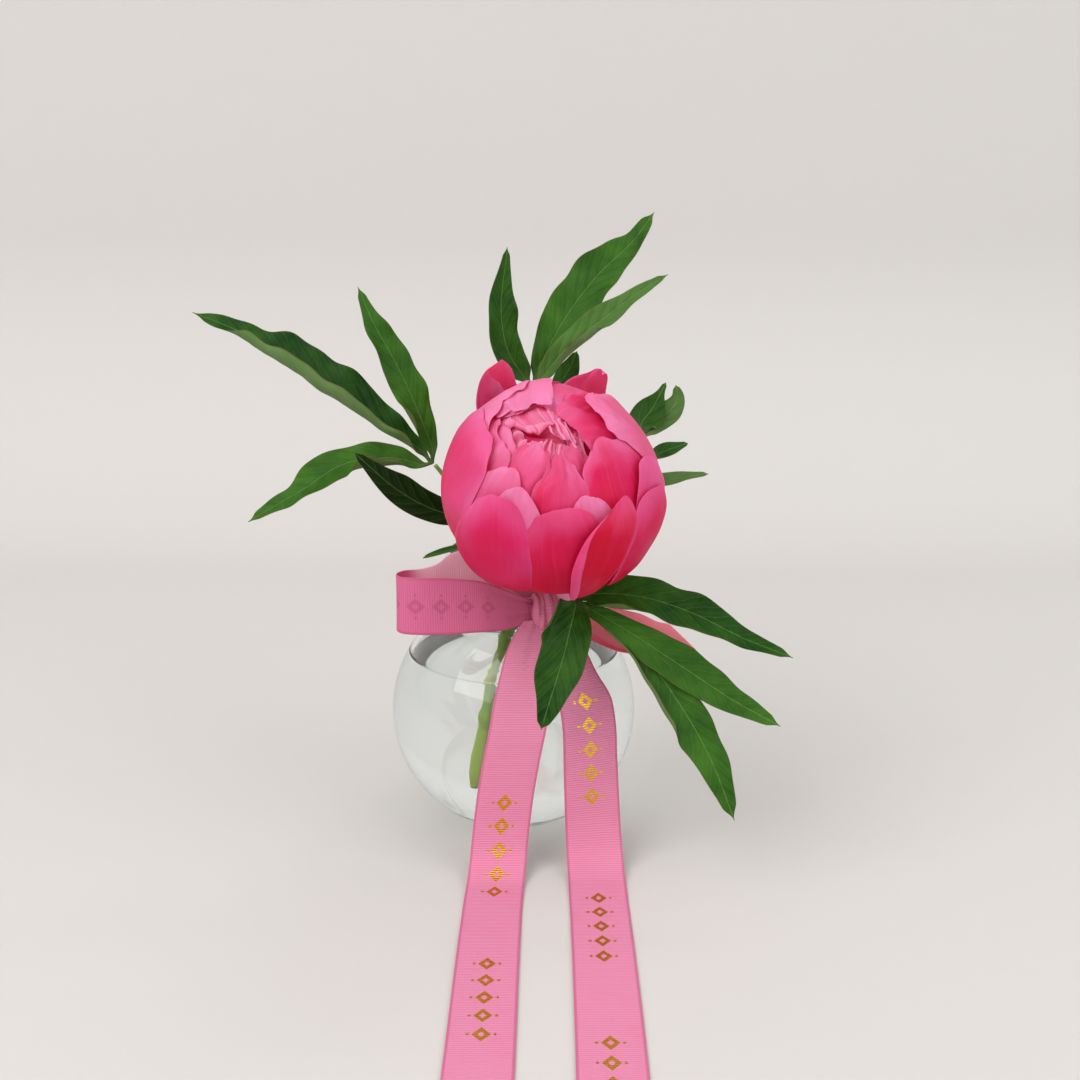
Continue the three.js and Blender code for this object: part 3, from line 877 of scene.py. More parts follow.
# ---- vase and water
@dataclass
class BudVase:
    """The round glass with its short neck, and the water in it."""

    bowl_centre: float = 54.0
    glass: float = 2.4
    base_radius: float = 20.0
    base_glass: float = 8.0
    neck_radius: float = 27.8
    neck_foot: float = 102.5
    water_level: float = 82.0
    sides: int = 160

    def sizes(self) -> tuple[float, float]:
        """Return the bowl's radius and the rim's height, as the frame has them."""
        low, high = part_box("vase")
        return (high[0] - low[0]) / 2 / METRES, high[2] / METRES

    def arc(self, radius: float, low: float, high: float, steps: int) -> list[list[float]]:
        """Return radius and height pairs on the bowl's curve, from one height to another."""
        ends = [math.asin((height - self.bowl_centre) / radius) for height in (low, high)]
        return circle_points((0.0, self.bowl_centre), radius, np.linspace(*ends, steps + 1))

    def glass_profile(self) -> Array:
        """Draw the wall of the glass, outside then inside.

        Returns:
            Radius and height pairs.
        """
        bowl, top = self.sizes()
        inner = bowl - self.glass
        mouth = self.neck_radius - self.glass
        foot = self.neck_foot
        lip = 1.5
        outside = [[0.0, 1.2], [self.base_radius - 6, 1.0], [self.base_radius - 3, 0.15]]
        outside += [[self.base_radius - 1.6, 0.0], [self.base_radius - 0.4, 0.25]]
        outside += self.arc(bowl, 1.8, foot - 2.2, 60)
        shoulder = [[self.neck_radius + 1.9, foot - 0.3], [self.neck_radius + 1.0, foot + 0.9]]
        shoulder += [[self.neck_radius + 0.35, foot + 2.4], [self.neck_radius, foot + 4.4]]
        rim = [[self.neck_radius, top - 6.0], [self.neck_radius + 0.12, top - 4.0]]
        rim += circle_points((self.neck_radius + 0.1, top - lip), lip, np.radians(np.linspace(-35, 90, 10)))
        rim += circle_points((mouth + lip + 0.3, top - lip), lip, np.radians(np.linspace(90, 180, 8)))
        neck = [[mouth, top - 4.0], [mouth, foot + 3.6], [mouth + 0.4, foot + 1.4]]
        neck += [[mouth + 1.2, foot - 0.2]]
        inside = self.arc(inner, foot - 1.9, self.base_glass + 3.0, 56)
        floor = [[self.base_radius - 3, self.base_glass + 0.4]]
        floor += [[self.base_radius - 8, self.base_glass], [0.0, self.base_glass]]
        return np.array(outside + shoulder + rim + neck + inside + floor)

    def water_profile(self) -> Array:
        """Draw the water, a touch into the glass so that the two meet cleanly.

        Returns:
            Radius and height pairs.
        """
        bowl, _ = self.sizes()
        radius = bowl - self.glass + 0.25
        level = self.water_level
        edge = math.sqrt(radius**2 - (level + 1.3 - self.bowl_centre) ** 2)
        side = [[0.0, self.base_glass - 0.25], [self.base_radius - 8, self.base_glass - 0.25]]
        side += [[self.base_radius - 3, self.base_glass + 0.15]]
        side += self.arc(radius, self.base_glass + 2.8, level + 1.3, 60)
        climb = [[edge - 0.5, level + 0.55], [edge - 1.1, level + 0.22], [edge - 2.2, level + 0.04]]
        flat = [[share * edge, level] for share in (0.9, 0.75, 0.55, 0.35, 0.15)]
        return np.array(side + climb + flat + [[0.0, level]])

    def build(self) -> None:
        """Make the glass and the water."""
        vase = turned_object("vase_glass", self.glass_profile(), self.sides)
        clear = ClearFinish("clear_glass", Tone(252, 254, 254), 1.45, Tone(250, 252, 252))
        dress(vase, clear.material(), "glass", "vase")
        water = turned_object("vase_water", self.water_profile(), self.sides)
        wet = ClearFinish("clear_water", Tone(253, 255, 254), 1.333, Tone(253, 254, 254), 0.2)
        dress(water, wet.material(), "water", "water")


# ---- bloom
Angles = tuple[tuple[float, float], ...]


class Side(Enum):
    """A side of a petal, seen from outside with its tip up."""

    LEFT = "left"
    TOP = "top"


@dataclass(frozen=True)
class Rim:
    """A margin beyond one side of a petal that rolls outwards."""

    side: Side
    margin: float
    radius: float
    most: float
    grow: tuple[float, float]
    fade: float
    # Painted light on the rolled margin, as a pale number.
    pale: float

    def first(self, grid: Array) -> Array:
        """Turn a petal's grid so that the rolled side is its first column."""
        return grid if self.side is Side.LEFT else np.swapaxes(grid[::-1], 0, 1)

    def back(self, grid: Array) -> Array:
        """Turn such a grid back again."""
        return grid if self.side is Side.LEFT else np.swapaxes(grid, 0, 1)[::-1]


@dataclass(frozen=True)
class Petal:
    """One petal, or one lobe of a cleft petal.

    Its outline is a list of angles in degrees: how far each point lies from the bloom's mouth,
    and its turn about the bloom's axis, 0 being down at the front and 90 to the right.
    """

    name: str
    layer: float
    foot: float
    left: Angles
    top: Angles
    right: Angles
    flare: float = 0.0
    cup: float = 0.0
    belly: float = 0.8
    ruffle: float = 0.35
    frill: float = 0.0
    pleat: float = 0.0
    wave: float = 0.6
    notch: float = 0.0
    notch_at: float = 0.2
    crease: float = 0.0
    crease_at: float = 0.0
    # The next two numbers are painted light and shade for where the petal lies in the bloom: the first lifts
    # it towards the rim tone above 0 and deepens it below 0; the second deepens it more towards its foot.
    pale: float = 0.0
    blush: float = 0.0
    rims: tuple[Rim, ...] = ()


def off_line(azimuth: float, polar: float, aside: float) -> tuple[float, float]:
    """Step sideways off a line that runs from the mouth to the foot.

    Args:
        azimuth: the line's turn about the bloom's axis.
        polar: how far from the mouth; less than 0 lies past it.
        aside: the step, as an angle.

    Returns:
        The angles of the place.
    """
    turn, fall, step = (math.radians(a) for a in (azimuth, polar, aside))
    out = math.sin(fall) * math.cos(step)
    front = out * math.cos(turn) - math.sin(step) * math.sin(turn)
    right = out * math.sin(turn) + math.sin(step) * math.cos(turn)
    height = math.cos(fall) * math.cos(step)
    return math.degrees(math.acos(height)), math.degrees(math.atan2(right, front))


def round_petal(
    name: str, layer: float, azimuth: float, tip: float, half_width: float, **shape: float
) -> Petal:
    """Describe a plain round-tipped petal.

    Args:
        name: the petal's name.
        layer: how many layers in it lies.
        azimuth: its turn about the bloom's axis.
        tip: how far its tip stays from the mouth.
        half_width: half its width, as an angle.
        shape: the other sizes of a petal.

    Returns:
        The petal.
    """
    stations = ((135.0, 0.7), (100.0, 0.98), (tip + 34.0, 1.0), (tip + 17.0, 0.86))
    crown = ((5.5, 0.58), (1.0, 0.24), (0.0, 0.0), (1.0, -0.24), (5.5, -0.58))
    left = tuple(off_line(azimuth, polar, -half_width * share) for polar, share in stations)
    right = tuple(off_line(azimuth, polar, half_width * share) for polar, share in stations[::-1])
    top = tuple(off_line(azimuth, tip + down, -half_width * share) for down, share in crown)
    return Petal(name, layer, azimuth, left, top, right, **shape)


GUARD_PETALS = (
    Petal(
        "guard_petal_front_left", 0, -34, ((135, -56), (114, -63), (94, -61)),
        ((75, -56), (60.5, -50), (51.5, -41), (49.5, -30), (54, -19)), ((73, -9), (97, -7), (135, -8)),
        belly=1.8, cup=-1.6, pale=0.1, blush=0.3, wave=0.5, ruffle=0.6,
    ),
    Petal(
        "guard_petal_front", 1, 4, ((135, -16), (100, -20), (75, -20)),
        ((57, -15), (50, -7), (47, 4), (47.5, 13), (53, 22)), ((75, 30), (100, 32), (135, 22)),
        belly=1.6, cup=-0.4, pale=-0.3, blush=0.5,
    ),
    Petal(
        "guard_petal_front_right", -0.6, 16, ((120, 12), (101, 9.5), (81, 10.5), (65, 18)),
        ((57, 31), (53.5, 43), (54.5, 46)), ((62, 48), (72, 47), (85, 39), (98, 31), (120, 24)),
        belly=0.4, flare=0.6, pale=-0.7, blush=0.4, ruffle=0.2, wave=0.1,
        rims=(Rim(Side.LEFT, 5.0, 0.7, most=168.0, grow=(0.24, 0.62), fade=0.9, pale=0.15),),
    ),
    Petal(
        "guard_petal_right", 1.2, 64, ((125, 40), (95, 40), (75, 46), (63, 54)),
        ((54, 63.5), (49.5, 69.5), (51.5, 76), (58, 80.5), (67, 83)), ((80, 86), (100, 82), (125, 76)),
        belly=0.4, flare=1.2, ruffle=0.25, wave=0.1, pale=0.5, blush=0.2,
    ),
    Petal(
        "guard_petal_right", -0.4, 60, ((125, 34), (103, 33), (86, 38), (75, 43)),
        ((67, 47.5), (62.5, 54), (62.5, 60.5), (66, 68), (72.5, 76)), ((88, 78), (105, 72), (125, 66)),
        belly=0.3, flare=0.4, cup=-0.3, ruffle=0.15, wave=0.1, pale=-0.2, blush=0.6,
    ),
    round_petal("guard_petal_back_right", 3.0, 109, 80, 28, belly=-0.6, blush=0.6),
    Petal(
        "guard_petal_top_right", -0.8, 162, ((120, 153), (88, 152.5), (66, 151), (54, 149.4)),
        ((48.6, 147.8), (53.6, 150.9), (60.5, 155.7), (68, 161), (77, 168)),
        ((84, 173), (93, 178), (120, 174)),
        flare=1.8, belly=-0.8, ruffle=0.1, wave=0.02, pale=1.0, crease=0.5, crease_at=0.1,
    ),
    round_petal("guard_petal_back", 1, 184, 76, 20, blush=0.5),
    Petal(
        "guard_petal_top_left", -2, -149, ((120, -166), (96, -165), (84, -163)),
        ((75, -161.2), (65, -158), (57, -153.5), (52.3, -149.5), (51.2, -145.5), (52, -141.8)),
        ((62, -141), (90, -142.3), (120, -141)),
        flare=6.0, cup=-1.0, belly=0.4, ruffle=0.1, wave=0.1, pale=0.5, blush=0.5,
    ),
    Petal(
        "guard_petal_top_left", -2, -148, ((120, -160), (100, -160), (90, -159)),
        ((82, -156.5), (77, -153.8), (71, -150), (64, -146), (53.5, -141.4)),
        ((64, -140.8), (90, -142), (120, -141)),
        flare=2.0, cup=2.0, belly=-0.8, ruffle=0.1, wave=0.1, pale=0.9, blush=0.4,
    ),
    round_petal("guard_petal_back_left", 2, -118, 62, 18, blush=0.5),
    Petal(
        "guard_petal_left", 1, -86, ((135, -112), (100, -124), (70, -126)),
        ((52, -122), (43, -113), (38, -104), (34.5, -92), (35, -76)),
        ((42, -60), (52, -55), (72, -54), (105, -56), (135, -66)),
        belly=1.2, cup=-0.6, wave=0.3, blush=0.5, pale=0.4, ruffle=0.5,
    ),
)

SECOND_PETALS = (
    Petal(
        "second_petal_right", 2.6, 48, ((135, 32), (100, 20), (60, 21), (44, 25), (33, 28.5)),
        ((26, 38), (22.5, 52), (24, 64), (31, 76), (41, 84)), ((52, 83), (62, 80), (100, 80), (135, 66)),
        pale=0.2, blush=1.9, wave=0.3, ruffle=0.3,
    ),
    Petal(
        "second_petal_top_right", 2, 112, ((125, 98), (90, 86), (66, 76)),
        ((54, 77), (43, 78), (34, 78.5), (25, 86), (19, 98), (17.5, 115), (19, 126)),
        ((26, 134), (45, 142), (75, 142), (110, 136)),
        belly=-1.8, pale=0.45, wave=0.05, ruffle=0.15,
    ),
    Petal(
        "second_petal_top", 3, -160, ((110, -172), (70, -174), (40, -177), (22, 180)),
        ((12, -178), (9, -165), (13, -146), (20, -128), (27, -110), (31, -103)),
        ((42, -116), (70, -130), (110, -138)),
        belly=1.2, ruffle=0.25, wave=0.15, pale=0.8, crease=-1.0, crease_at=-0.1,
    ),
    Petal(
        "second_petal_left", 2, -122, ((120, -152), (75, -160), (50, -160)),
        ((38, -152), (33, -136), (32.5, -120), (34, -104), (35.5, -92)),
        ((46, -90), (75, -96), (120, -105)),
        ruffle=0.4, wave=0.5, pale=0.7,
    ),
    Petal(
        "second_petal_front_left", 2, -44, ((120, -64), (90, -68), (62, -66)),
        ((50, -61), (44, -57), (37, -50), (34, -41), (36, -31)),
        ((43, -27), (60, -26), (90, -24), (120, -28)),
        ruffle=0.5, wave=0.8, pale=0.35, notch=1.0, notch_at=0.3,
    ),
    Petal(
        "second_petal_front_left", 1.5, -24, ((110, -38), (80, -42), (58, -40)),
        ((46, -36), (41.5, -29), (41.5, -20), (46, -12)), ((56, -5), (80, -8), (110, -16)),
        ruffle=0.4, wave=0.5, pale=0.55,
    ),
    Petal(
        "second_petal_front", 3, 8, ((120, -6), (90, -16), (56, -18), (40, -15)),
        ((30, -11), (24, -9), (22.5, 2), (24, 12), (29, 22)), ((41, 27), (60, 29), (90, 30), (120, 22)),
        belly=1.0, ruffle=0.9, wave=0.4, pale=0.12, notch=1.2, notch_at=-0.55,
    ),
    Petal(
        "second_petal_front", 2, 24, ((110, 18), (80, 14), (58, 12)),
        ((47, 15), (44, 20), (46, 27), (52, 34)), ((62, 38), (80, 40), (110, 34)),
        ruffle=0.4, wave=0.5, pale=0.6,
    ),
)

THIRD_PETALS = (
    Petal(
        "third_petal_front", 4, -34, ((120, -52), (80, -62), (50, -60), (32, -56)),
        ((21, -53), (16.5, -46), (16, -34), (19.5, -20)), ((28, -9), (50, -6), (80, -14), (120, -20)),
        ruffle=0.8, frill=0.1, pale=0.15,
    ),
    Petal(
        "third_petal_right", 4.6, 30, ((120, 16), (80, 4), (45, 0), (28, -2)),
        ((20.5, 2), (18.5, 16), (20, 30), (25, 42)), ((40, 48), (80, 52), (120, 44)),
        ruffle=0.8, frill=0.2, pale=-0.1,
    ),
    Petal(
        "third_petal_back_right", 4, 108, ((120, 88), (80, 66), (45, 55), (28, 54)),
        ((20, 60), (13, 76), (7, 104), (7, 140), (11, 168)), ((24, 162), (50, 152), (80, 142), (120, 130)),
        ruffle=0.5, frill=0.1, wave=0.5, belly=-0.6,
    ),
    Petal(
        "third_petal_back", 4.8, 172, ((120, 158), (80, 152), (45, 148), (22, 144)),
        ((11, 136), (8, 160), (9, -170), (15, -150), (21, -142)), ((40, -156), (80, -170), (120, -174)),
        ruffle=0.7, frill=0.2, wave=0.5, pale=0.3,
    ),
    Petal(
        "third_petal_back_left", 4, -136, ((120, -148), (80, -164), (45, -172), (24, -176)),
        ((15, -168), (15, -148), (19, -130), (24, -114), (28, -104)), ((42, -108), (80, -118), (120, -126)),
        ruffle=0.6, frill=0.2, wave=0.5, pale=0.55,
    ),
    Petal(
        "third_petal_left", 3.4, -84, ((120, -96), (80, -112), (50, -114)),
        ((34, -108), (30.5, -99), (30, -86), (30, -72), (31, -60)),
        ((37, -50), (60, -52), (80, -60), (120, -72)),
        ruffle=0.6, frill=0.1, wave=0.5, pale=0.35,
    ),
    Petal(
        "third_petal_left", 4.8, -86, ((120, -98), (80, -110), (45, -116)),
        ((30, -114), (26, -98), (24, -80), (25, -64), (28, -54)),
        ((36, -46), (60, -50), (80, -60), (120, -74)),
        ruffle=0.6, frill=0.2, wave=0.5, pale=0.4,
    ),
)

CENTRE_PETALS = (
    Petal(
        "centre_petal_1", 5.4, -150, ((120, -160), (70, 178), (35, 170), (16, 160)),
        ((5, 130), (4, -60), (10, -74), (19, -82), (25, -88)), ((36, -104), (70, -126), (120, -140)),
        ruffle=0.6, frill=0.2, pleat=0.4, wave=0.5, pale=0.2,
        rims=(Rim(Side.TOP, 5.0, 0.7, most=172.0, grow=(0.2, 0.5), fade=0.1, pale=0.4),),
    ),
    Petal(
        "centre_petal_2", 6.0, -16, ((120, -30), (70, -44), (40, -52), (28, -58)),
        ((19, -60), (13, -48), (11, -28), (14, -8)), ((28, -2), (50, 0), (70, -4), (120, -10)),
        ruffle=0.8, frill=0.3, pleat=0.9, wave=0.5, pale=0.2,
    ),
    Petal(
        "centre_petal_2", 5.6, 4, ((120, -6), (70, -12), (40, -14), (28, -14)),
        ((19, -8), (15, 4), (17, 16), (22, 24)), ((36, 20), (70, 18), (120, 12)),
        ruffle=0.8, frill=0.3, pleat=0.9, wave=0.5, pale=0.2,
    ),
    Petal(
        "centre_petal_3", 6.6, 128, ((120, 112), (60, 96), (30, 84), (20, 76)),
        ((13, 60), (10, 30), (6, -30), (6, -120), (11, -160)), ((24, 176), (60, 158), (120, 146)),
        ruffle=0.7, frill=0.4, pleat=1.2,
    ),
    Petal(
        "centre_petal_4", 7.4, -100, ((120, -112), (60, -128), (30, -150), (20, 176)),
        ((14, 130), (13, 70), (18, 40), (25, 18)), ((28, -20), (34, -56), (60, -72), (120, -84)),
        ruffle=0.8, frill=0.4, pleat=1.3, pale=-0.1,
    ),
    Petal(
        "centre_petal_4", 6.4, -84, ((120, -96), (60, -106), (34, -108)),
        ((24, -104), (18, -86), (16, -66), (20, -50)), ((30, -48), (60, -62), (120, -74)),
        ruffle=0.8, frill=0.4, pleat=1.0, pale=0.1,
    ),
    Petal(
        "centre_petal_5", 6.0, 150, ((120, 132), (60, 116), (24, 100), (16, 74)),
        ((17, 62), (23, 52), (27, 46), (26, 34), (21, 24)),
        ((12, 10), (6, -90), (30, 172), (60, 168), (120, 164)),
        ruffle=0.6, frill=0.6, pleat=1.3, wave=0.8, pale=0.1,
    ),
    Petal(
        "centre_petal_6", 5.6, 178, ((120, 168), (60, 160), (25, 150), (12, 130)),
        ((10, 80), (14, 54), (18, 36), (16, 14), (12, -8)),
        ((7, -60), (16, -150), (30, -164), (60, -170), (120, -176)),
        ruffle=0.6, frill=0.5, pleat=1.2, pale=0.05,
    ),
)


# Each crumple's length and size in millimetres, and how much of it keeps to the mouth.
CRUMPLES = (
    (44.0, 0.8, 0.0), (26.0, 0.6, 0.0), (15.0, 0.9, 1.0), (9.0, 0.6, 1.0), (5.0, 0.3, 1.0), (3.2, 0.14, 1.0),
)

OUTER_PETAL = PetalFinish(
    "outer_petal_satin", Tone(212, 0, 38), Tone(226, 38, 116), Tone(240, 124, 184), Tone(230, 56, 120),
    rim_share=0.3, through=0.34, wrinkle=0.14, emitted_glow=0.03,
)
INNER_PETAL = PetalFinish(
    "inner_petal_satin", Tone(210, 0, 40), Tone(224, 36, 108), Tone(242, 140, 190), Tone(218, 22, 80),
    rim_share=0.34, through=0.3, wrinkle=0.14, emitted_glow=0.04,
)
CENTRE_PETAL = PetalFinish(
    "centre_petal_crepe", Tone(196, 0, 44), Tone(222, 38, 104), Tone(248, 150, 192), Tone(214, 20, 78),
    rim_share=0.5, through=0.26, wrinkle=0.2, emitted_glow=0.07,
)


@dataclass
class Bloom:
    """The half-open peony: a ball of cupped petals about a crumpled middle."""

    centre: Point = (18.3, -52.0, 174.6)
    nod: float = 42.0
    outer_radius: float = 47.2
    layer_step: float = 1.6
    claw_radius: float = 4.4
    claw_gap: float = 1.05
    claw_half: float = 2.3
    thickness: float = 0.46
    columns: int = 41
    rows: int = 46
    flap_columns: int = 16
    petal_arc: float = 150.0
    pleated_share: float = 0.72
    mouth_from: float = 52.0
    mouth_to: float = 18.0
    seed: int = 11

    def __post_init__(self) -> None:
        """Work out the bloom's own directions."""
        nod = math.radians(self.nod)
        self.origin = np.array(self.centre)
        self.axis = np.array([0.0, -math.sin(nod), math.cos(nod)])
        self.front = np.array([0.0, -math.cos(nod), -math.sin(nod)])
        self.right = np.array([1.0, 0.0, 0.0])

    def direction(self, polar: float, azimuth: float) -> Array:
        """Find a direction from the bloom's centre.

        Args:
            polar: degrees from the mouth.
            azimuth: degrees round the axis, 0 being down at the front.

        Returns:
            A unit vector.
        """
        fall, turn = math.radians(polar), math.radians(azimuth)
        outward = self.front * math.cos(turn) + self.right * math.sin(turn)
        return self.axis * math.cos(fall) + outward * math.sin(fall)

    def strip(self, polar: Array, azimuth: float, swing: Array) -> Array:
        """Find the directions of a strip that runs up from the foot.

        Args:
            polar: angle from the foot of the bloom, in radians.
            azimuth: the strip's turn about its axis, in radians.
            swing: sideways swing off the strip's middle, in radians.

        Returns:
            Unit vectors.
        """
        outward = self.front * math.cos(azimuth) + self.right * math.sin(azimuth)
        sideways = self.right * math.cos(azimuth) - self.front * math.sin(azimuth)
        along = outward * np.sin(polar)[..., None] - self.axis * np.cos(polar)[..., None]
        return along * np.cos(swing)[..., None] + sideways * np.sin(swing)[..., None]

    @staticmethod
    def ripple(place: Array, chance: Chance, waves: tuple[float, ...]) -> Array:
        """Add up sine waves with chance phases, between about -1 and 1.

        Args:
            place: where to take them.
            chance: the source of the phases.
            waves: how many turns each takes over a unit.

        Returns:
            The sum at each place.
        """
        total = np.zeros_like(place)
        for i, turns in enumerate(waves):
            phase = chance.uniform(0, 2 * math.pi)
            total += np.sin(2 * math.pi * turns * place + phase) / (1.0 + 0.6 * i)
        return total / (1.0 + 0.5 * (len(waves) - 1))

    def crumple(self, points: Array) -> Array:
        """Move points by a smooth field, broad everywhere and finer near the mouth.

        Args:
            points: points in the frame.

        Returns:
            The moved points. Layers that lie close together move together.
        """
        chance = np.random.default_rng(self.seed + 1)
        local = points - self.origin
        height = unit(local) @ self.axis
        edges = [math.cos(math.radians(angle)) for angle in (self.mouth_from, self.mouth_to)]
        mouth = smooth(height, *edges)
        moved = points.copy()
        for length, size, near in CRUMPLES:
            share = 1 - near + near * mouth
            for _ in range(3):
                wave = unit(chance.normal(size=3)) * 2 * math.pi / length
                push = unit(chance.normal(size=3)) * size
                phase = chance.uniform(0, 2 * math.pi)
                moved = moved + (np.sin(local @ wave + phase) * share)[..., None] * push
        return moved

    def spread(self, petal: Petal, radius: float, u: Array, v: Array) -> Array:
        """Fill a petal's outline with directions.

        Args:
            petal: the petal.
            radius: how far it lies from the bloom's centre.
            u: places across it, -1 to 1.
            v: places along it, 0 to 1.

        Returns:
            A unit vector for each place.
        """
        claw = self.claw_radius + self.claw_gap
        low = 180.0 - math.degrees(math.asin(claw / radius))
        half = math.degrees(self.claw_half / claw)
        left = [(low, petal.foot - half), *petal.left]
        right = [*petal.right, (low, petal.foot + half)]
        path = SmoothPath(np.array([self.direction(*a) for a in (*left, *petal.top, *right)]))
        marks = np.array([0, len(left), len(left) + len(petal.top) - 1, path.spans]) / path.spans
        corners = np.interp(marks, path.fine, path.travel) / path.length
        share = (u.ravel() + 1) / 2
        long = v.ravel()
        side_left = path.evenly(long * corners[1])
        crown = path.evenly(corners[1] + share * (corners[2] - corners[1]))
        side_right = path.evenly(1 - long * (1 - corners[2]))
        ends = path.evenly(corners[[0, 1, 2, 3]])
        share, long = share[:, None], long[:, None]
        foot = ends[0] + (ends[3] - ends[0]) * share
        across = side_left * (1 - share) + side_right * share
        along = foot * (1 - long) + crown * long
        flat = foot * (1 - long) + (ends[1] * (1 - share) + ends[2] * share) * long
        return unit(across + along - flat).reshape(*u.shape, 3)

    def lift(self, petal: Petal, u: Array, v: Array, chance: Chance) -> tuple[Array, Array]:
        """Work out how far a petal's places stand off its layer's ball.

        Args:
            petal: the petal.
            u: places across it, -1 to 1.
            v: places along it, 0 to 1.
            chance: the source of its unevenness.

        Returns:
            Millimetres outward for each place, and the part of them that is pleats.
        """
        lift = petal.flare * v**3 + petal.cup * u**2 * v
        lift += petal.belly * (1 - u**2) ** 1.5 * np.sin(math.pi * v**1.3)
        dent = 0.4 * self.ripple(u * 0.6 + v * 0.9, chance, (0.9, 1.7))
        lift += dent * np.sin(math.pi * v) * (1 - u**2)
        lift += petal.ruffle * v**5 * self.ripple(u, chance, (0.9, 1.7, 2.9))
        lift += 0.6 * petal.ruffle * u**6 * self.ripple(v, chance, (1.3, 2.3))
        lift += 0.05 * v * self.ripple(u, chance, (7.0, 11.0, 17.0))
        lift += petal.frill * v**7 * self.ripple(u, chance, (2.7, 4.3, 6.1))
        broad, fine = petal.pleat * smooth(v, 0.5, 0.9), 0.3 * petal.pleat * smooth(v, 0.6, 0.95)
        ridge = broad * self.ripple(u + 0.12 * v**2, chance, (1.9, 3.1, 4.7))
        ridge += fine * self.ripple(u, chance, (5.1, 7.3, 9.7))
        lift += ridge
        lift += petal.crease * np.exp(-(((u - petal.crease_at) / 0.16) ** 2)) * v**2
        return lift, ridge

    def roll_over(self, sheet: dict[str, Array], rim: Rim) -> dict[str, Array]:
        """Add a rolled margin along one side of a petal.

        Args:
            sheet: the petal's grids of points, places and lengths, by name.
            rim: the side, and how far its margin rolls.

        Returns:
            The grids with the margin's places added.
        """
        normals = rim.first(grid_normals(sheet["middle"]))
        grids = {name: rim.first(grid) for name, grid in sheet.items()}
        middle = grids["middle"]
        rows = middle.shape[0]
        down = np.linspace(0, 1, rows)
        size = rim.margin * smooth(down, *rim.grow) * (1 - rim.fade * smooth(down, 0.75, 1.0))
        share = np.linspace(1, 0, self.flap_columns, endpoint=False)
        past = size[:, None] * share + 0.02 * share
        most = math.radians(rim.most)
        angle = np.minimum(past / rim.radius, most)
        left = past - angle * rim.radius
        inward = -(rim.radius * np.sin(angle) + left * math.cos(most))
        height = rim.radius * (1 - np.cos(angle)) + left * math.sin(most)
        steps = np.linalg.norm(np.diff(middle, axis=1), axis=2)
        travel = np.concatenate([np.zeros((rows, 1)), np.cumsum(steps, axis=1)], axis=1)
        flap = np.zeros((rows, len(share), 3))
        for i in range(rows):
            for k in range(3):
                flat = np.interp(inward[i], travel[i], middle[i, :, k])
                lean = np.interp(np.maximum(inward[i], 0), travel[i], normals[i, :, k])
                flap[i, :, k] = flat + lean * height[i]
            ahead = unit(middle[i, 0] - middle[i, 1])
            flap[i] += np.maximum(-inward[i], 0)[:, None] * ahead
        added = {}
        for name, grid in grids.items():
            first = np.repeat(grid[:, :1], len(share), axis=1)
            if name == "middle":
                first = flap
            elif name == "edge":
                first = np.broadcast_to(smooth(share, 0.1, 0.9) * 0.9 + 0.1, first.shape)
            elif name == "rim":
                first = np.broadcast_to(smooth(share, 0.85, 1.0), first.shape)
                grid = np.minimum(grid, smooth(travel, 0.0, 4.0))
            # The rolled margin takes its own pale number: painted light on the margin.
            elif name == "pale":
                first = first * 0.0 + rim.pale
            added[name] = rim.back(np.concatenate([first, grid], axis=1))
        return added

    def plate(self, petal: Petal, chance: Chance) -> Plate:
        """Shape one petal.

        Args:
            petal: its outline and shape.
            chance: the source of its unevenness.

        Returns:
            The petal as a thin plate.
        """
        radius = self.outer_radius - self.layer_step * petal.layer
        u, v = sheet_places(self.columns, self.rows)
        length = math.radians(self.petal_arc) * radius
        back = petal.wave * v**6 * (1 + self.ripple(u, chance, (0.7, 1.3, 2.6)))
        back += petal.notch * v**9 * np.exp(-(((u - petal.notch_at) / 0.09) ** 2))
        back += petal.frill * v**14 * (1 + self.ripple(u, chance, (5.5, 8.5, 12.0)))
        ball = self.spread(petal, radius, u, v - back / length)
        lift, ridge = self.lift(petal, u, v, chance)
        middle = self.crumple(ball * (radius + lift)[..., None] + self.origin)
        rim = np.maximum(smooth(v, 0.9, 1.0), smooth(np.abs(u), 0.86, 1.0))
        edge = np.maximum(smooth(v, 0.82, 1.0), smooth(np.abs(u), 0.8, 1.0) * smooth(v, 0.1, 0.5))
        # Painted light and shade for the petal's place in the bloom, more painted shade towards the foot, and
        # a painted highlight on each pleat's crest with painted shade in its trough.
        pale = petal.pale - petal.blush * (1 - v) + 0.8 * ridge
        sheet = {"middle": middle, "u": u, "v": v, "edge": edge, "rim": rim, "pale": pale}
        for margin in petal.rims:
            sheet = self.roll_over(sheet, margin)
        u, v = sheet["u"], sheet["v"]
        mark = np.full_like(u, chance.uniform(0, 90))
        thickness = self.thickness * (self.pleated_share if petal.pleat else 1.0)
        thickness = thickness * (1 - 0.72 * sheet["rim"])
        numbers = {
            "along": v,
            "edge": sheet["edge"],
            "pale": sheet["pale"],
            "fan": np.stack([u * 15, v * 1.6, mark], axis=-1),
            "flat": np.stack([u * 18, v * 60, mark], axis=-1),
        }
        return Plate(petal.name, sheet["middle"], thickness, numbers=numbers, side_name="inner")

    def build(self) -> None:
        """Make every petal, from the outside in."""
        chance = np.random.default_rng(self.seed)
        for petals, finish, slot in (
            (GUARD_PETALS, OUTER_PETAL, "outer_petal"),
            (SECOND_PETALS + THIRD_PETALS, INNER_PETAL, "inner_petal"),
            (CENTRE_PETALS, CENTRE_PETAL, "centre_petal"),
        ):
            dress_plates([self.plate(petal, chance) for petal in petals], finish.material(), slot)


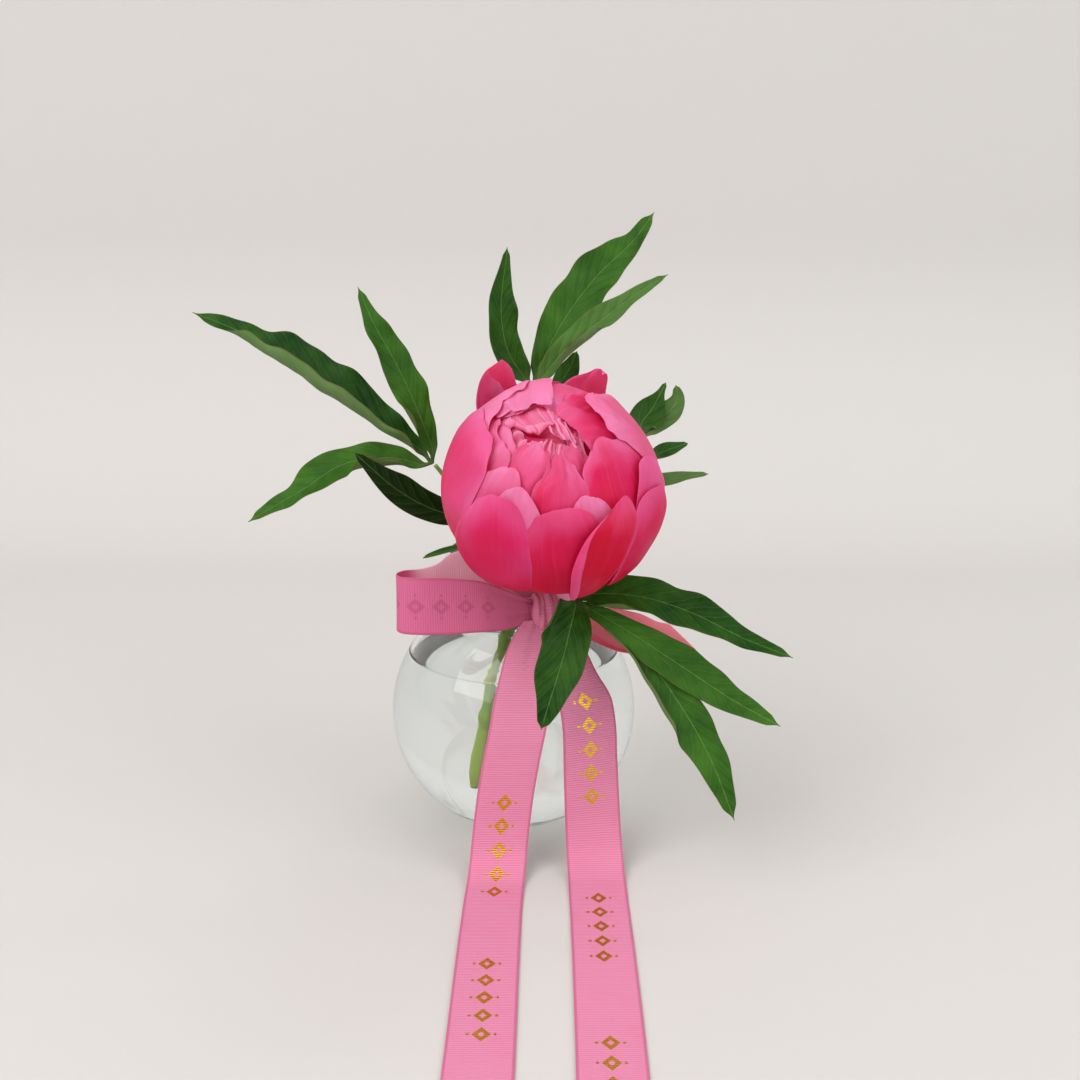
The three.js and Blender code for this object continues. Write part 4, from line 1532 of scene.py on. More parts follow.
# ---- stem
@dataclass
class Stalk:
    """The flower's stem with its cut end, the swelling under the bloom, and the sepals."""

    bloom: Bloom
    radius: float = 3.5
    path: tuple[Point, ...] = (
        (-13, 10, 22), (-9.5, 6, 50), (-5.5, 2, 80), (1, -3.5, 104),
        (9, -9, 120), (14.5, -13.1, 131), (17.8, -18, 138), (18.8, -21, 140.6),
    )
    sides: int = 28
    joints: tuple[float, ...] = (0.2, 0.52, 0.86)
    joint_swell: float = 0.9
    joint_share: float = 0.018
    girth_at: tuple[float, ...] = (0.0, 0.03, 0.08, 0.17, 0.3, 0.5, 0.62, 1.0)
    girth: tuple[float, ...] = (0.4, 0.72, 0.84, 0.62, 0.6, 0.84, 1.0, 1.0)
    heart_depths: tuple[float, float] = (17.0, 47.7)
    heart_at: tuple[float, ...] = (0.0, 0.06, 0.12, 0.4, 0.86, 0.95, 1.0)
    heart_radii: tuple[float, ...] = (3.4, 4.1, 4.4, 4.4, 3.6, 2.8, 1.2)
    sepal_reach: float = 48.5

    def stem(self) -> bpy.types.Object:
        """Make the stem, ending inside the bloom.

        Returns:
            The stem.
        """
        curve = SmoothPath(self.path)
        share = np.linspace(0.0, 1.0, 150)
        centres = curve.evenly(share)
        radii = np.interp(share, self.girth_at, self.girth) * self.radius
        for joint in self.joints:
            radii += self.joint_swell * np.exp(-(((share - joint) / self.joint_share) ** 2))
        radii *= 1 + 0.03 * np.sin(share * 21) + 0.02 * np.sin(share * 47)
        angle = np.linspace(0.0, 2 * np.pi, self.sides, endpoint=False)
        groove = 1 + 0.035 * np.cos(5 * angle[None] + 3 * share[:, None])
        inner, outer = (self.bloom.origin - self.bloom.axis * depth for depth in self.heart_depths)
        steps = np.linspace(0.0, 1.0, 40)
        heart = outer + (inner - outer) * steps[:, None]
        swell = np.interp(steps, self.heart_at, self.heart_radii)
        skins = [tube(centres, radii[:, None] * groove, self.sides), tube(heart, swell, self.sides)]
        return joined_object("stem_dressed", skins)

    def sepal(self, name: str, azimuth: float, tip: float, half_width: float) -> Plate:
        """Shape one sepal, cupped close under the bloom.

        Args:
            name: its name.
            azimuth: its turn about the bloom's axis.
            tip: how much of the bloom it leaves bare.
            half_width: half its width.

        Returns:
            The sepal as a thin plate.
        """
        radius = self.sepal_reach
        u, v = sheet_places(17, 26)
        start = math.asin((self.bloom.claw_radius + self.bloom.claw_gap) / radius)
        length = (math.pi - math.radians(tip) - start) * radius
        swell = 0.3 + 0.7 * np.sin((math.pi / 2) * np.minimum(v / 0.55, 1.0))
        x = u * half_width * swell * (1 - 0.3 * smooth(v, 0.6, 1.0))
        y = (v - v**3 * (0.14 * u**2 + 0.08 * u**6)) * length
        polar = start + y / radius
        reach = radius + 0.8 * v**3 + 0.12 * np.sin(u * 16)
        ball = self.bloom.strip(polar, math.radians(azimuth), x / radius)
        middle = ball * reach[..., None] + self.bloom.origin
        numbers = {
            "wide": x * 0.4,
            "long": y,
            "edge": smooth(np.abs(u), 0.93, 1.0),
            "pale": np.full_like(u, 0.35),
            "fresh": np.full_like(u, 0.2),
            "flat": np.stack([x, y, np.full_like(u, azimuth)], axis=-1),
        }
        return Plate(name, middle, 0.7 - 0.4 * u**4, numbers=numbers)

    def build(self) -> None:
        """Make the stem and its sepals."""
        green = StalkFinish("stem_skin", Tone(106, 148, 46), Tone(146, 166, 44), Tone(150, 120, 70))
        dress(self.stem(), green.material(), "stem", "stem")
        skin = LeafFinish("sepal_skin", 4.0, Tone(60, 104, 34), Tone(98, 140, 52), roughness=0.5)
        sepals = enumerate(((-70, 128, 7.0), (78, 130, 6.0), (180, 126, 7.5)), 1)
        plates = [self.sepal(f"sepal_{i}", *shape) for i, shape in sepals]
        dress_plates(plates, skin.material(), "sepal")


# ---- leaves
@dataclass(frozen=True)
class Leaflet:
    """One leaflet, or one lobe of a forked one. A part of one margin may turn over."""

    name: str
    path: tuple[Point, ...]
    half_width: float
    facing: Point
    fold: float = 0.3
    wave: float = 0.9
    widest: float = 0.42
    stalk: float = 3.5
    base: float = 0.04
    taper: float = 0.25
    # The next number is partly the leaflet's own tone and partly painted light and painted shade for how it
    # lies to the light.
    fresh: float = 0.3
    pale: float = 0.0
    turned_side: int = 0
    turned_from: float = 0.3
    turned: tuple[float, float] = (0.0, 0.0)


# A forked leaflet has two rows of one name.
LEAFLETS = (
    Leaflet(
        "leaflet_left_long",
        (
            (-37.4, -5, 174.8), (-40.6, -3, 178.4), (-53, -3, 188), (-75, 0, 204),
            (-97, 4, 218), (-120, 8, 230), (-145, 12, 240),
        ),
        10.8, (-0.1, -0.6, 0.8), fresh=0.0, wave=1.3, widest=0.5,
        turned_side=-1, turned_from=0.18, turned=(0.0, 0.9),
    ),
    Leaflet(
        "leaflet_left_upper",
        (
            (-36.4, -5, 173.6), (-36.2, -4.6, 179), (-42, -5, 197), (-52, -3, 219), (-62, 0, 237),
            (-68.4, 3, 252),
        ),
        7.6, (0.4, -0.9, 0.2), fresh=0.45, wave=1.5, widest=0.5,
        turned_side=-1, turned_from=0.42, turned=(0.12, 0.42),
    ),
    Leaflet(
        "leaflet_left_drooping",
        (
            (-36.6, -5.8, 174), (-40, -9, 173.8), (-52, -13, 177.6), (-74, -18, 176),
            (-93, -24, 165), (-116, -28, 152),
        ),
        8.4, (-0.2, -0.7, 0.7), fresh=0.5, wave=1.3, widest=0.5,
        turned_side=-1, turned_from=0.35, turned=(0.08, 0.5),
    ),
    Leaflet(
        "leaflet_left_dark",
        ((-15.6, -6.6, 149.2), (-24, -11, 150.4), (-37, -18, 156), (-51, -24, 166), (-68, -32, 184)),
        7.3, (0.3, -0.9, 0.4), fresh=-0.55, widest=0.5, wave=0.7,
    ),
    Leaflet(
        "leaflet_left_small",
        ((-6.4, -7.8, 141.4), (-14, -8.6, 138), (-21, -9.4, 136), (-31, -10, 133.5), (-41, -12, 131)),
        2.6, (0, -0.3, 0.95), widest=0.6, stalk=12.0, wave=0.4,
    ),
    Leaflet(
        "leaflet_back_upright",
        ((9, 9, 206), (5.4, 9, 211), (-2, 8, 223), (-5, 8, 241), (-2, 10, 269)),
        7.2, (0.3, -0.95, 0.1), fresh=0.15, wave=1.1,
    ),
    Leaflet(
        "leaflet_back_tall",
        ((9.4, 9.8, 207), (12, 11.5, 214), (22, 14, 234), (38, 20, 255), (56, 26, 272), (65, 30, 284)),
        11, (-0.3, -0.9, 0.3), fresh=0.4, wave=1.2, widest=0.5,
    ),
    Leaflet(
        "leaflet_back_narrow",
        ((10.4, 8, 207), (14.4, 5.4, 212.5), (24, 4, 224), (40, 5, 237), (55, 7, 248), (70, 10, 257)),
        6.4, (-0.2, -0.85, 0.5), fresh=0.7, pale=0.35, turned_side=1, turned_from=0.2, turned=(0.1, 0.6),
    ),
    Leaflet(
        "leaflet_back_small", ((11.6, 12, 196), (15, 16, 200), (19.6, 20, 204), (26, 24, 212), (30, 26, 221)),
        5, (0, -1, 0.2), widest=0.55, stalk=9.0,
    ),
    Leaflet(
        "leaflet_right_middle", ((60.2, 2.4, 174.2), (64, 1.8, 175.2), (70, 4, 177.5), (81, 8, 180.5)),
        4.2, (0, -0.6, 0.8), fresh=0.1, stalk=2.5,
    ),
    Leaflet(
        "leaflet_right_lower",
        ((56.4, 2.4, 163.8), (61.5, -2, 165), (68, -6, 165.5), (78, -6, 167.5), (89, -6, 169)),
        3.8, (0, -0.6, 0.8), fresh=0.5, pale=0.55,
    ),
    Leaflet(
        "leaflet_front_drooping",
        (
            (28, -48.4, 122.4), (28, -51.2, 120.6), (26.4, -57, 115.6), (22, -66, 101), (17, -72, 86),
            (13, -74, 73),
        ),
        10.4, (-0.1, -0.95, 0.3), fresh=0.1, widest=0.56, fold=0.4,
        turned_side=1, turned_from=0.5, turned=(0.0, 0.42), stalk=0.5, base=0.16,
    ),
    Leaflet(
        "leaflet_front_right",
        (
            (28.6, -47.6, 122.6), (34, -46.6, 124.2), (55, -52, 125), (76, -58, 120), (99, -64, 110),
            (119, -68, 103),
        ),
        8.6, (0, -0.75, 0.65), fresh=0.1, widest=0.46, turned_side=1, turned_from=0.5, turned=(0.04, 0.36),
        stalk=1.0, base=0.1,
    ),
    Leaflet(
        "leaflet_right_forked", ((59.6, 3.8, 184.2), (59, 5, 190), (64, 8, 196.5), (70.4, 10, 208.5)),
        7.4, (0, -0.9, 0.4), fold=0.06, fresh=0.1, stalk=1.0, base=0.06, widest=0.34, taper=0.7, wave=0.5,
    ),
    Leaflet(
        "leaflet_right_forked",
        ((59.6, 3.8, 184.2), (65.6, 8, 189.6), (72.6, 10, 195.6), (76, 12, 201), (75.2, 12.6, 207)),
        5.8, (0, -0.9, 0.4), fold=0.06, fresh=0.5, stalk=1.0, base=0.06, pale=0.45, widest=0.5, wave=0.5,
    ),
    Leaflet(
        "leaflet_front_forked",
        (
            (28.6, -48.8, 121.8), (33, -50, 119.4), (55, -58, 108), (76, -66, 96), (94, -74, 86),
            (113, -80, 77),
        ),
        8.8, (-0.1, -0.8, 0.6), fold=0.1, fresh=0.45, widest=0.6, stalk=1.0, base=0.1,
    ),
    Leaflet(
        "leaflet_front_forked",
        ((28.6, -48.8, 121.8), (33, -50, 118.8), (55, -60, 103), (72, -72, 83), (84, -82, 63), (94, -88, 38)),
        8.8, (-0.1, -0.8, 0.6), fold=0.1, fresh=0.36, widest=0.68, stalk=1.0, base=0.08,
        turned_side=1, turned_from=0.45, turned=(0.04, 0.72),
    ),
)

PETIOLES = {
    "petiole_left": ((9, -11.6, 129.5), (0, -8, 137), (-16, -5.5, 151), (-28, -5, 164), (-35, -5.6, 173)),
    "petiole_back": ((13, -7.6, 130), (12.4, 3, 144), (11, 11, 172), (9.4, 9, 209)),
    "petiole_right": (
        (20.6, -10.6, 130.4), (24.6, -8, 135.4), (35, -1, 143), (53, 3, 159), (59, 3, 173),
        (59.6, 3.6, 184.4),
    ),
    "petiole_front": (
        (20.7, -20.7, 134.6), (22, -24.4, 133.8), (24, -31, 129.6), (26, -38, 126.2), (27.8, -47.4, 122.6),
    ),
}


@dataclass
class Foliage:
    """The leaflets and the thin stalks that carry them."""

    columns: int = 41
    thickness: float = 0.45
    stalk_half: float = 0.85
    top_rib: float = -0.2
    under_rib: float = -0.5
    turned_angle: float = 2.5
    turned_ease: float = 0.14
    petiole_radius: float = 1.1
    petiole_sides: int = 16
    vein_step: float = 8.5
    seed: int = 5

    def outline(self, leaflet: Leaflet, u: Array, v: Array, length: float, phase: Array) -> Array:
        """Work out the blade's half width, with its uneven margin and drawn-out tip.

        Args:
            leaflet: the blade's shape.
            u: places across it, -1 to 1.
            v: places along it, 0 to 1.
            length: its length.
            phase: turns that make each margin its own.

        Returns:
            The half width at each place.
        """
        along = v * length
        share = np.clip((along - leaflet.stalk) / (length - leaflet.stalk), 0.0, 1.0)
        share = leaflet.base + (1 - leaflet.base) * share
        power = math.log(0.5) / math.log(leaflet.widest)
        swell = np.sin(math.pi * (0.02 + 0.96 * share) ** power)
        slim = 1 - leaflet.taper * smooth(share, 0.55, 0.92)
        swell *= slim * smooth(along, leaflet.stalk - 2.0, leaflet.stalk + 5.0)
        reach = self.stalk_half + (leaflet.half_width - self.stalk_half) * swell
        side = np.sign(u)
        broad = 0.05 * np.sin(along / 5.6 + phase[0] + side)
        reach *= 1 + broad + 0.03 * np.sin(along / 2.9 + phase[3] + 2 * side)
        return reach * (1 - 0.95 * smooth(v, 0.94, 1.0))

    def turn_over(self, leaflet: Leaflet, u: Array, v: Array, reach: Array) -> tuple[Array, Array]:
        """Turn part of one margin up and over towards the leaf's face.

        Args:
            leaflet: the blade's shape.
            u: places across it, -1 to 1.
            v: places along it, 0 to 1.
            reach: its half width.

        Returns:
            The distance across and the lift at each place.
        """
        first, last = leaflet.turned
        ease = self.turned_ease
        amount = smooth(v, first, first + ease) * (1 - smooth(v, last - ease, last))
        amount *= abs(leaflet.turned_side)
        angle = np.maximum(self.turned_angle * amount, 1e-4)
        wider = reach * (1 + 0.5 * amount * (u * leaflet.turned_side > 0))
        begin = leaflet.turned_from
        spare = np.clip((u * leaflet.turned_side - begin) / (1 - begin), 0.0, 1.0)
        radius = wider * (1 - begin) / angle
        inside = np.minimum(np.abs(u), begin) if leaflet.turned_side else np.abs(u)
        across = np.where(spare > 0, inside * wider + radius * np.sin(spare * angle), np.abs(u) * wider)
        return across * np.sign(u), radius * (1 - np.cos(spare * angle))

    def plate(self, leaflet: Leaflet, chance: Chance) -> Plate:
        """Shape one blade.

        Args:
            leaflet: its path and shape.
            chance: the source of its unevenness.

        Returns:
            The blade as a thin plate.
        """
        curve = SmoothPath(leaflet.path)
        rows = int(np.clip(curve.length / 0.8, 40, 170))
        u, v = sheet_places(self.columns, rows)
        share = curve.share_at(v[:, 0])
        at = curve.at(share)[:, None]
        ahead = curve.tangents(share)[:, None]
        sideways = unit(np.cross(ahead, unit(np.array(leaflet.facing))))
        normal = np.cross(sideways, ahead)
        along = v * curve.length
        phase = chance.uniform(0, 2 * math.pi, 4)
        reach = self.outline(leaflet, u, v, curve.length, phase)
        x, over = self.turn_over(leaflet, u, v, reach)
        body = smooth(along, leaflet.stalk * 0.8, leaflet.stalk * 0.8 + 8.0)
        dip = np.abs(u) ** 1.4 * reach * leaflet.fold
        wave = leaflet.wave * np.abs(u) ** 2.0 * smooth(reach, 1.0, 6.0)
        side_phase = np.where(u < 0, phase[1], phase[2])
        bend = wave * (np.sin(along / 4.8 + side_phase) + 0.5 * np.sin(along / 2.5 + phase[3] + side_phase))
        order = (along - np.abs(x) * VEIN_SLOPE) / self.vein_step
        quilt = 0.2 * np.sin(math.pi * (order % 1.0)) * (1 - np.abs(u) ** 5) * smooth(reach, 1.0, 5.0)
        rib = np.exp(-((x / 0.5) ** 2)) * body
        middle = at + sideways * x[..., None] + normal * (dip + bend + quilt + over)[..., None]
        taper = 1 - 0.6 * smooth(np.abs(u), 0.86, 1.0)
        strength = smooth(1 - v, 0.0, 0.4)
        mark = np.full_like(u, chance.uniform(0, 90))
        numbers = {
            "wide": u * reach,
            "long": along,
            "edge": smooth(np.abs(u), 0.93, 1.0),
            "pale": np.full_like(u, leaflet.pale) + 0.4 * (1 - body),
            "fresh": np.full_like(u, leaflet.fresh),
            "flat": np.stack([x, along, mark], axis=-1),
        }
        thickness = self.thickness * taper + 0.9 * (1 - body) * (1 - 0.7 * u**2)
        ribs = (self.top_rib * rib * strength, self.under_rib * rib * strength)
        return Plate(leaflet.name, middle, thickness, *ribs, numbers)

    def petiole(self, name: str, path: tuple[Point, ...]) -> bpy.types.Object:
        """Make one leaf stalk, thicker at its foot.

        Args:
            name: the node that it stands for.
            path: its line.

        Returns:
            The stalk.
        """
        share = np.linspace(0.0, 1.0, 60)
        centres = SmoothPath(path).evenly(share)
        radii = self.petiole_radius * (1.12 - 0.2 * share + 0.5 * np.exp(-((share / 0.05) ** 2)))
        angle = np.linspace(0.0, 2 * np.pi, self.petiole_sides, endpoint=False)
        groove = 1 - 0.16 * np.exp(-(((angle - math.pi) / 0.5) ** 2))
        skin = tube(centres, radii[:, None] * groove[None], self.petiole_sides)
        return joined_object(name + "_dressed", [skin])

    def build(self) -> None:
        """Make every leaflet and leaf stalk."""
        chance = np.random.default_rng(self.seed)
        leaf = LeafFinish("leaf_skin", self.vein_step).material()
        dress_plates([self.plate(leaflet, chance) for leaflet in LEAFLETS], leaf, "leaf")
        stalk = StalkFinish("petiole_skin", Tone(104, 140, 58), Tone(134, 158, 70), Tone(150, 104, 74))
        green = stalk.material()
        for name, path in PETIOLES.items():
            dress(self.petiole(name, path), green, "stem", name)


# ---- bow
@dataclass(frozen=True)
class Station:
    """A place along a ribbon: its middle, the way its width runs, and its half width."""

    at: Point
    across: Point
    half: float


FULL = 12.5
UP = (0.0, 0.0, 1.0)
LEVEL = (1.0, 0.0, 0.0)


def run(across: Point, half: float, *places: Point) -> tuple[Station, ...]:
    """Return stations that share their width and its direction."""
    return tuple(Station(at, across, half) for at in places)


LOOP_LEFT = (
    Station((9, -34.4, 112.6), UP, 5.4), Station((2, -38.2, 114.2), UP, 7.6),
    Station((-4, -43.2, 116.4), UP, 9.6), Station((-13, -50.5, 119.9), UP, 11.5),
    *run(
        UP, FULL, (-27, -57, 122), (-39, -60, 123), (-46, -58, 123), (-48.4, -53.5, 123), (-46, -48.5, 123),
        (-39, -45, 122.8), (-32, -43.2, 124.6), (-26, -41.2, 128.6), (-17, -38.4, 128.6),
    ),
    Station((-10, -36.4, 122.8), UP, 10.5), Station((-3, -34.2, 116.2), UP, 8.5),
    Station((4.2, -32.4, 113.3), UP, 6), Station((9, -32, 112.8), UP, 5.2),
)
LOOP_RIGHT = (
    Station((20, -33.4, 112), (-0.3, 1, 0.5), 5), Station((33, -36, 109.4), (-0.2, 0.8, 0.5), 8),
    Station((47, -39, 106.4), (-0.2, 0.76, 0.6), 11), Station((61, -41, 104.6), (-0.3, 0.85, 0.42), FULL),
    Station((70, -41.6, 103.6), (-0.4, 0.95, 0.2), FULL),
    Station((75.4, -40.4, 102.6), (-0.4, 0.95, 0.15), FULL),
    Station((70, -38.2, 101.6), (-0.4, 0.95, 0.2), FULL),
    Station((60, -35.6, 101.6), (-0.3, 0.85, 0.4), FULL),
    Station((46, -33, 102.4), (-0.2, 0.8, 0.55), 11), Station((33, -31, 105), (-0.2, 0.85, 0.5), 8),
    Station((24, -29.6, 107.6), (-0.3, 1, 0.4), 5),
)
TAIL_LEFT = (
    Station((11.4, -36, 109), (0.95, 0.2, 0), 6.6), Station((9.6, -39.8, 103), (0.95, 0.2, 0), 9.2),
    Station((8.2, -44, 97), (0.97, 0.1, 0), 10.6), Station((6.9, -48.8, 88), LEVEL, 11.9),
    *run(
        LEVEL, FULL, (5, -54, 78), (2.8, -58.4, 66), (0, -59.6, 52), (-2.6, -60, 36), (-4.6, -61, 20),
        (-5.8, -65, 8), (-6.6, -73, 2), (-7.2, -85, 0.7), (-8, -130, 0.7), (-8.4, -180, 0.7), (-9, -236, 0.7),
    ),
)
TAIL_RIGHT = (
    Station((17, -32.4, 108.6), (0.9, 0.3, 0.2), 5), Station((20.4, -34.4, 102.6), (0.9, 0.3, 0.2), 6.4),
    Station((25, -38.8, 96), (0.9, 0.35, 0.2), 7.6), Station((28, -46, 86), (0.92, 0.36, 0.1), 10.5),
    Station((32.4, -49.6, 76), (0.93, 0.36, 0), FULL), Station((34.4, -51.6, 64), (0.94, 0.34, 0), FULL),
    Station((35, -52.8, 50), (0.95, 0.3, 0), FULL), Station((35.6, -53.8, 34), (0.97, 0.22, 0), FULL),
    Station((36.3, -55.6, 18), (0.99, 0.12, 0), FULL), Station((37, -60, 7.4), (1, 0.04, 0), FULL),
    *run(
        LEVEL, FULL, (37.4, -69, 2), (37.6, -82, 0.7), (37.8, -130, 0.7), (37.6, -180, 0.7), (37, -236, 0.7),
    ),
)


@dataclass
class Bow:
    """The ribbon: a wrap round the neck, a knot, two loops and two tails."""

    width: float = 25.0
    thickness: float = 0.55
    rib: float = 1.05
    rib_depth: float = 0.06
    rows_a_rib: int = 4
    side_inset: float = 0.03
    end_inset: float = 0.0008
    gather_depth: float = 2.1
    knot_centre: Point = (14.4, -33.6, 113.0)
    knot_size: Point = (7.5, 5.2, 9.0)
    wrap_inner: float = 28.15
    wrap_low: float = 105.2
    wrap_high: float = 130.2
    squeeze: float = 0.35
    squeeze_share: float = 0.035
    knot_length: float = 40.0

    def weave(self, u: Array, along: Array) -> Array:
        """Return the ribs' relief, which ends at the selvedges."""
        return self.rib_depth * np.sin(2 * math.pi * along / self.rib) * (1 - smooth(np.abs(u), 0.9, 0.93))

    @staticmethod
    def numbers(u: Array, along: Array) -> dict[str, Array]:
        """Return the numbers that the ribbon's finish reads, in millimetres across and along."""
        return {"wide": u * FULL, "long": along, "flat": np.stack([u * FULL, along, 0 * along], axis=-1)}

    def strip(self, name: str, stations: tuple[Station, ...]) -> tuple[Plate, float]:
        """Shape a strip of ribbon through its stations.

        Args:
            name: the node that it stands for.
            stations: places along it.

        Returns:
            The strip as a thin plate, and its length.
        """
        middle_line = SmoothPath([station.at for station in stations])
        reaches = [unit(np.array(station.across, dtype=float)) * station.half for station in stations]
        width_line = SmoothPath(np.array(reaches))
        length = middle_line.length
        rows = int(length / self.rib * self.rows_a_rib)
        u, v = sheet_places(17, rows, self.side_inset, self.end_inset)
        share = middle_line.share_at(v[:, 0])
        at = middle_line.at(share)[:, None]
        reach = width_line.at(share)[:, None]
        half = np.linalg.norm(reach, axis=-1)
        ahead = middle_line.tangents(share)[:, None]
        normal = unit(np.cross(reach, ahead))
        along = v * length
        gather = np.clip(1 - half / FULL, 0.0, 1.0)
        depth = self.gather_depth * gather**0.8
        folds = 0.8 * np.sin(u * 6.2 + 0.4 + along / 30.0) + 0.45 * np.sin(u * 12.6 + 1.7)
        pleats = depth * 0.5 * folds
        curl = 0.25 * np.sin(along / 17.0 + 1.2) * u + 0.18 * np.sin(along / 9.0) * u**2
        lift = np.where(gather > 0, pleats, 0.0) + curl * (1 - gather) * smooth(at[..., 2], 3.0, 14.0)
        middle = at + reach * u[..., None] + normal * lift[..., None]
        thickness = self.thickness * (1 - 0.35 * smooth(np.abs(u), 0.97, 1.0))
        weave = self.weave(u, along)
        return Plate(name, middle, thickness, weave, -weave, self.numbers(u, along)), length

    def wrap(self) -> tuple[Plate, float]:
        """Shape the turn of ribbon round the neck.

        Returns:
            The turn as a thin plate, and its length.
        """
        radius = self.wrap_inner + self.thickness / 2 + 0.12
        length = 2 * math.pi * radius
        rows = int(length / self.rib * self.rows_a_rib)
        u, v = sheet_places(15, rows, self.side_inset, self.end_inset)
        start = math.atan2(self.knot_centre[1], self.knot_centre[0])
        turn = start + v * 2 * math.pi * 0.9995
        along = v * length
        height = (self.wrap_low + self.wrap_high) / 2 + u * self.width / 2
        height += 0.25 * np.sin(turn * 3) * (1 - u**2)
        near = np.exp(-((np.minimum(v, 1 - v) / self.squeeze_share) ** 2))
        height = height * (1 - self.squeeze * near) + self.knot_centre[2] * self.squeeze * near
        puff = 0.22 * (1 + np.sin(turn * 2 + u * 2)) + 0.5 * near * (1 + np.sin(u * 8))
        reach = radius + puff
        middle = np.stack([np.cos(turn) * reach, np.sin(turn) * reach, height], axis=-1)
        numbers = self.numbers(u, along)
        plate = Plate("ribbon_wrap", middle[:, ::-1], self.thickness, self.weave(u, along), numbers=numbers)
        return plate, length

    def knot(self) -> tuple[Plate, float]:
        """Shape the short band that is pulled over the middle of the bow.

        Returns:
            The band as a thin plate, and its length.
        """
        turn_to = math.atan2(self.knot_centre[1], self.knot_centre[0]) + math.pi / 2
        right = np.array([math.cos(turn_to), math.sin(turn_to), 0.0])
        out = np.array([math.sin(turn_to), -math.cos(turn_to), 0.0])
        up = np.array([0.0, 0.0, 1.0])
        half_wide, deep, tall = self.knot_size
        u, v = sheet_places(41, 150, end_inset=0.001)
        angle = v * 2 * math.pi - math.pi / 2
        waist = 0.72 + 0.28 * np.cos(angle) ** 2 * 0.6
        fold = np.sin(u * 7.4 + 1.5 * np.sin(angle))
        fold += 0.6 * np.sin(u * 14 + 1.0 - 1.1 * np.cos(angle))
        crown = np.sqrt(np.maximum(1 - (0.82 * u) ** 2, 0.05))
        x = u * half_wide * waist
        y = (deep * crown + fold * 0.8) * np.cos(angle)
        z = (tall * crown + fold * 0.8) * np.sin(angle)
        centre = np.array(self.knot_centre)
        middle = centre + right * x[..., None] + out * y[..., None] + up * z[..., None]
        numbers = self.numbers(u, v * self.knot_length)
        return Plate("ribbon_knot", middle, self.thickness, numbers=numbers), self.knot_length

    def build(self) -> None:
        """Make the six ribbon pieces."""
        gilt = RibbonFinish("ribbon_gilt", foil=Foil.UNDERSIDE, group_start=78.0)
        gilt_right = RibbonFinish("ribbon_gilt_right", foil=Foil.UNDERSIDE, group_start=35.0)
        # The left loop: a darker copy of the ribbon, painted shade on the loop. The lozenges show through as
        # a painted shadow, and its back strand is painted pale with light from behind.
        turned = RibbonFinish(
            "ribbon_reverse_shaded", Tone(224, 122, 164), Tone(212, 100, 146),
            foil=Foil.THROUGH, group_start=19.0, backlit_pale_after=76.0,
        )
        # The right loop: a salmon copy of the ribbon, a painted glow of light coming through it from behind.
        lit_through_copy = RibbonFinish(
            "ribbon_against_light", Tone(255, 164, 178), Tone(252, 126, 148), Tone(255, 140, 160), through=0.3
        )
        # Wrap and knot: a slightly lighter copy of the ribbon, painted light against the shade under the
        # bloom.
        lightened_plain = RibbonFinish("ribbon_plain", Tone(244, 156, 190), Tone(232, 128, 168)).material()
        for (plate, length), finish, held, rests in (
            (self.strip("ribbon_loop_left", LOOP_LEFT), turned.material(), "folded", []),
            (self.strip("ribbon_loop_right", LOOP_RIGHT), lit_through_copy.material(), "folded", []),
            (self.strip("ribbon_tail_left", TAIL_LEFT), gilt.material(), "draped", ["vase"]),
            (self.strip("ribbon_tail_right", TAIL_RIGHT), gilt_right.material(), "draped", ["vase"]),
            (self.wrap(), lightened_plain, "stretched", ["vase"]),
            (self.knot(), lightened_plain, "gathered", []),
        ):
            (thing,) = dress_plates([plate], finish, "ribbon")
            length * METRES


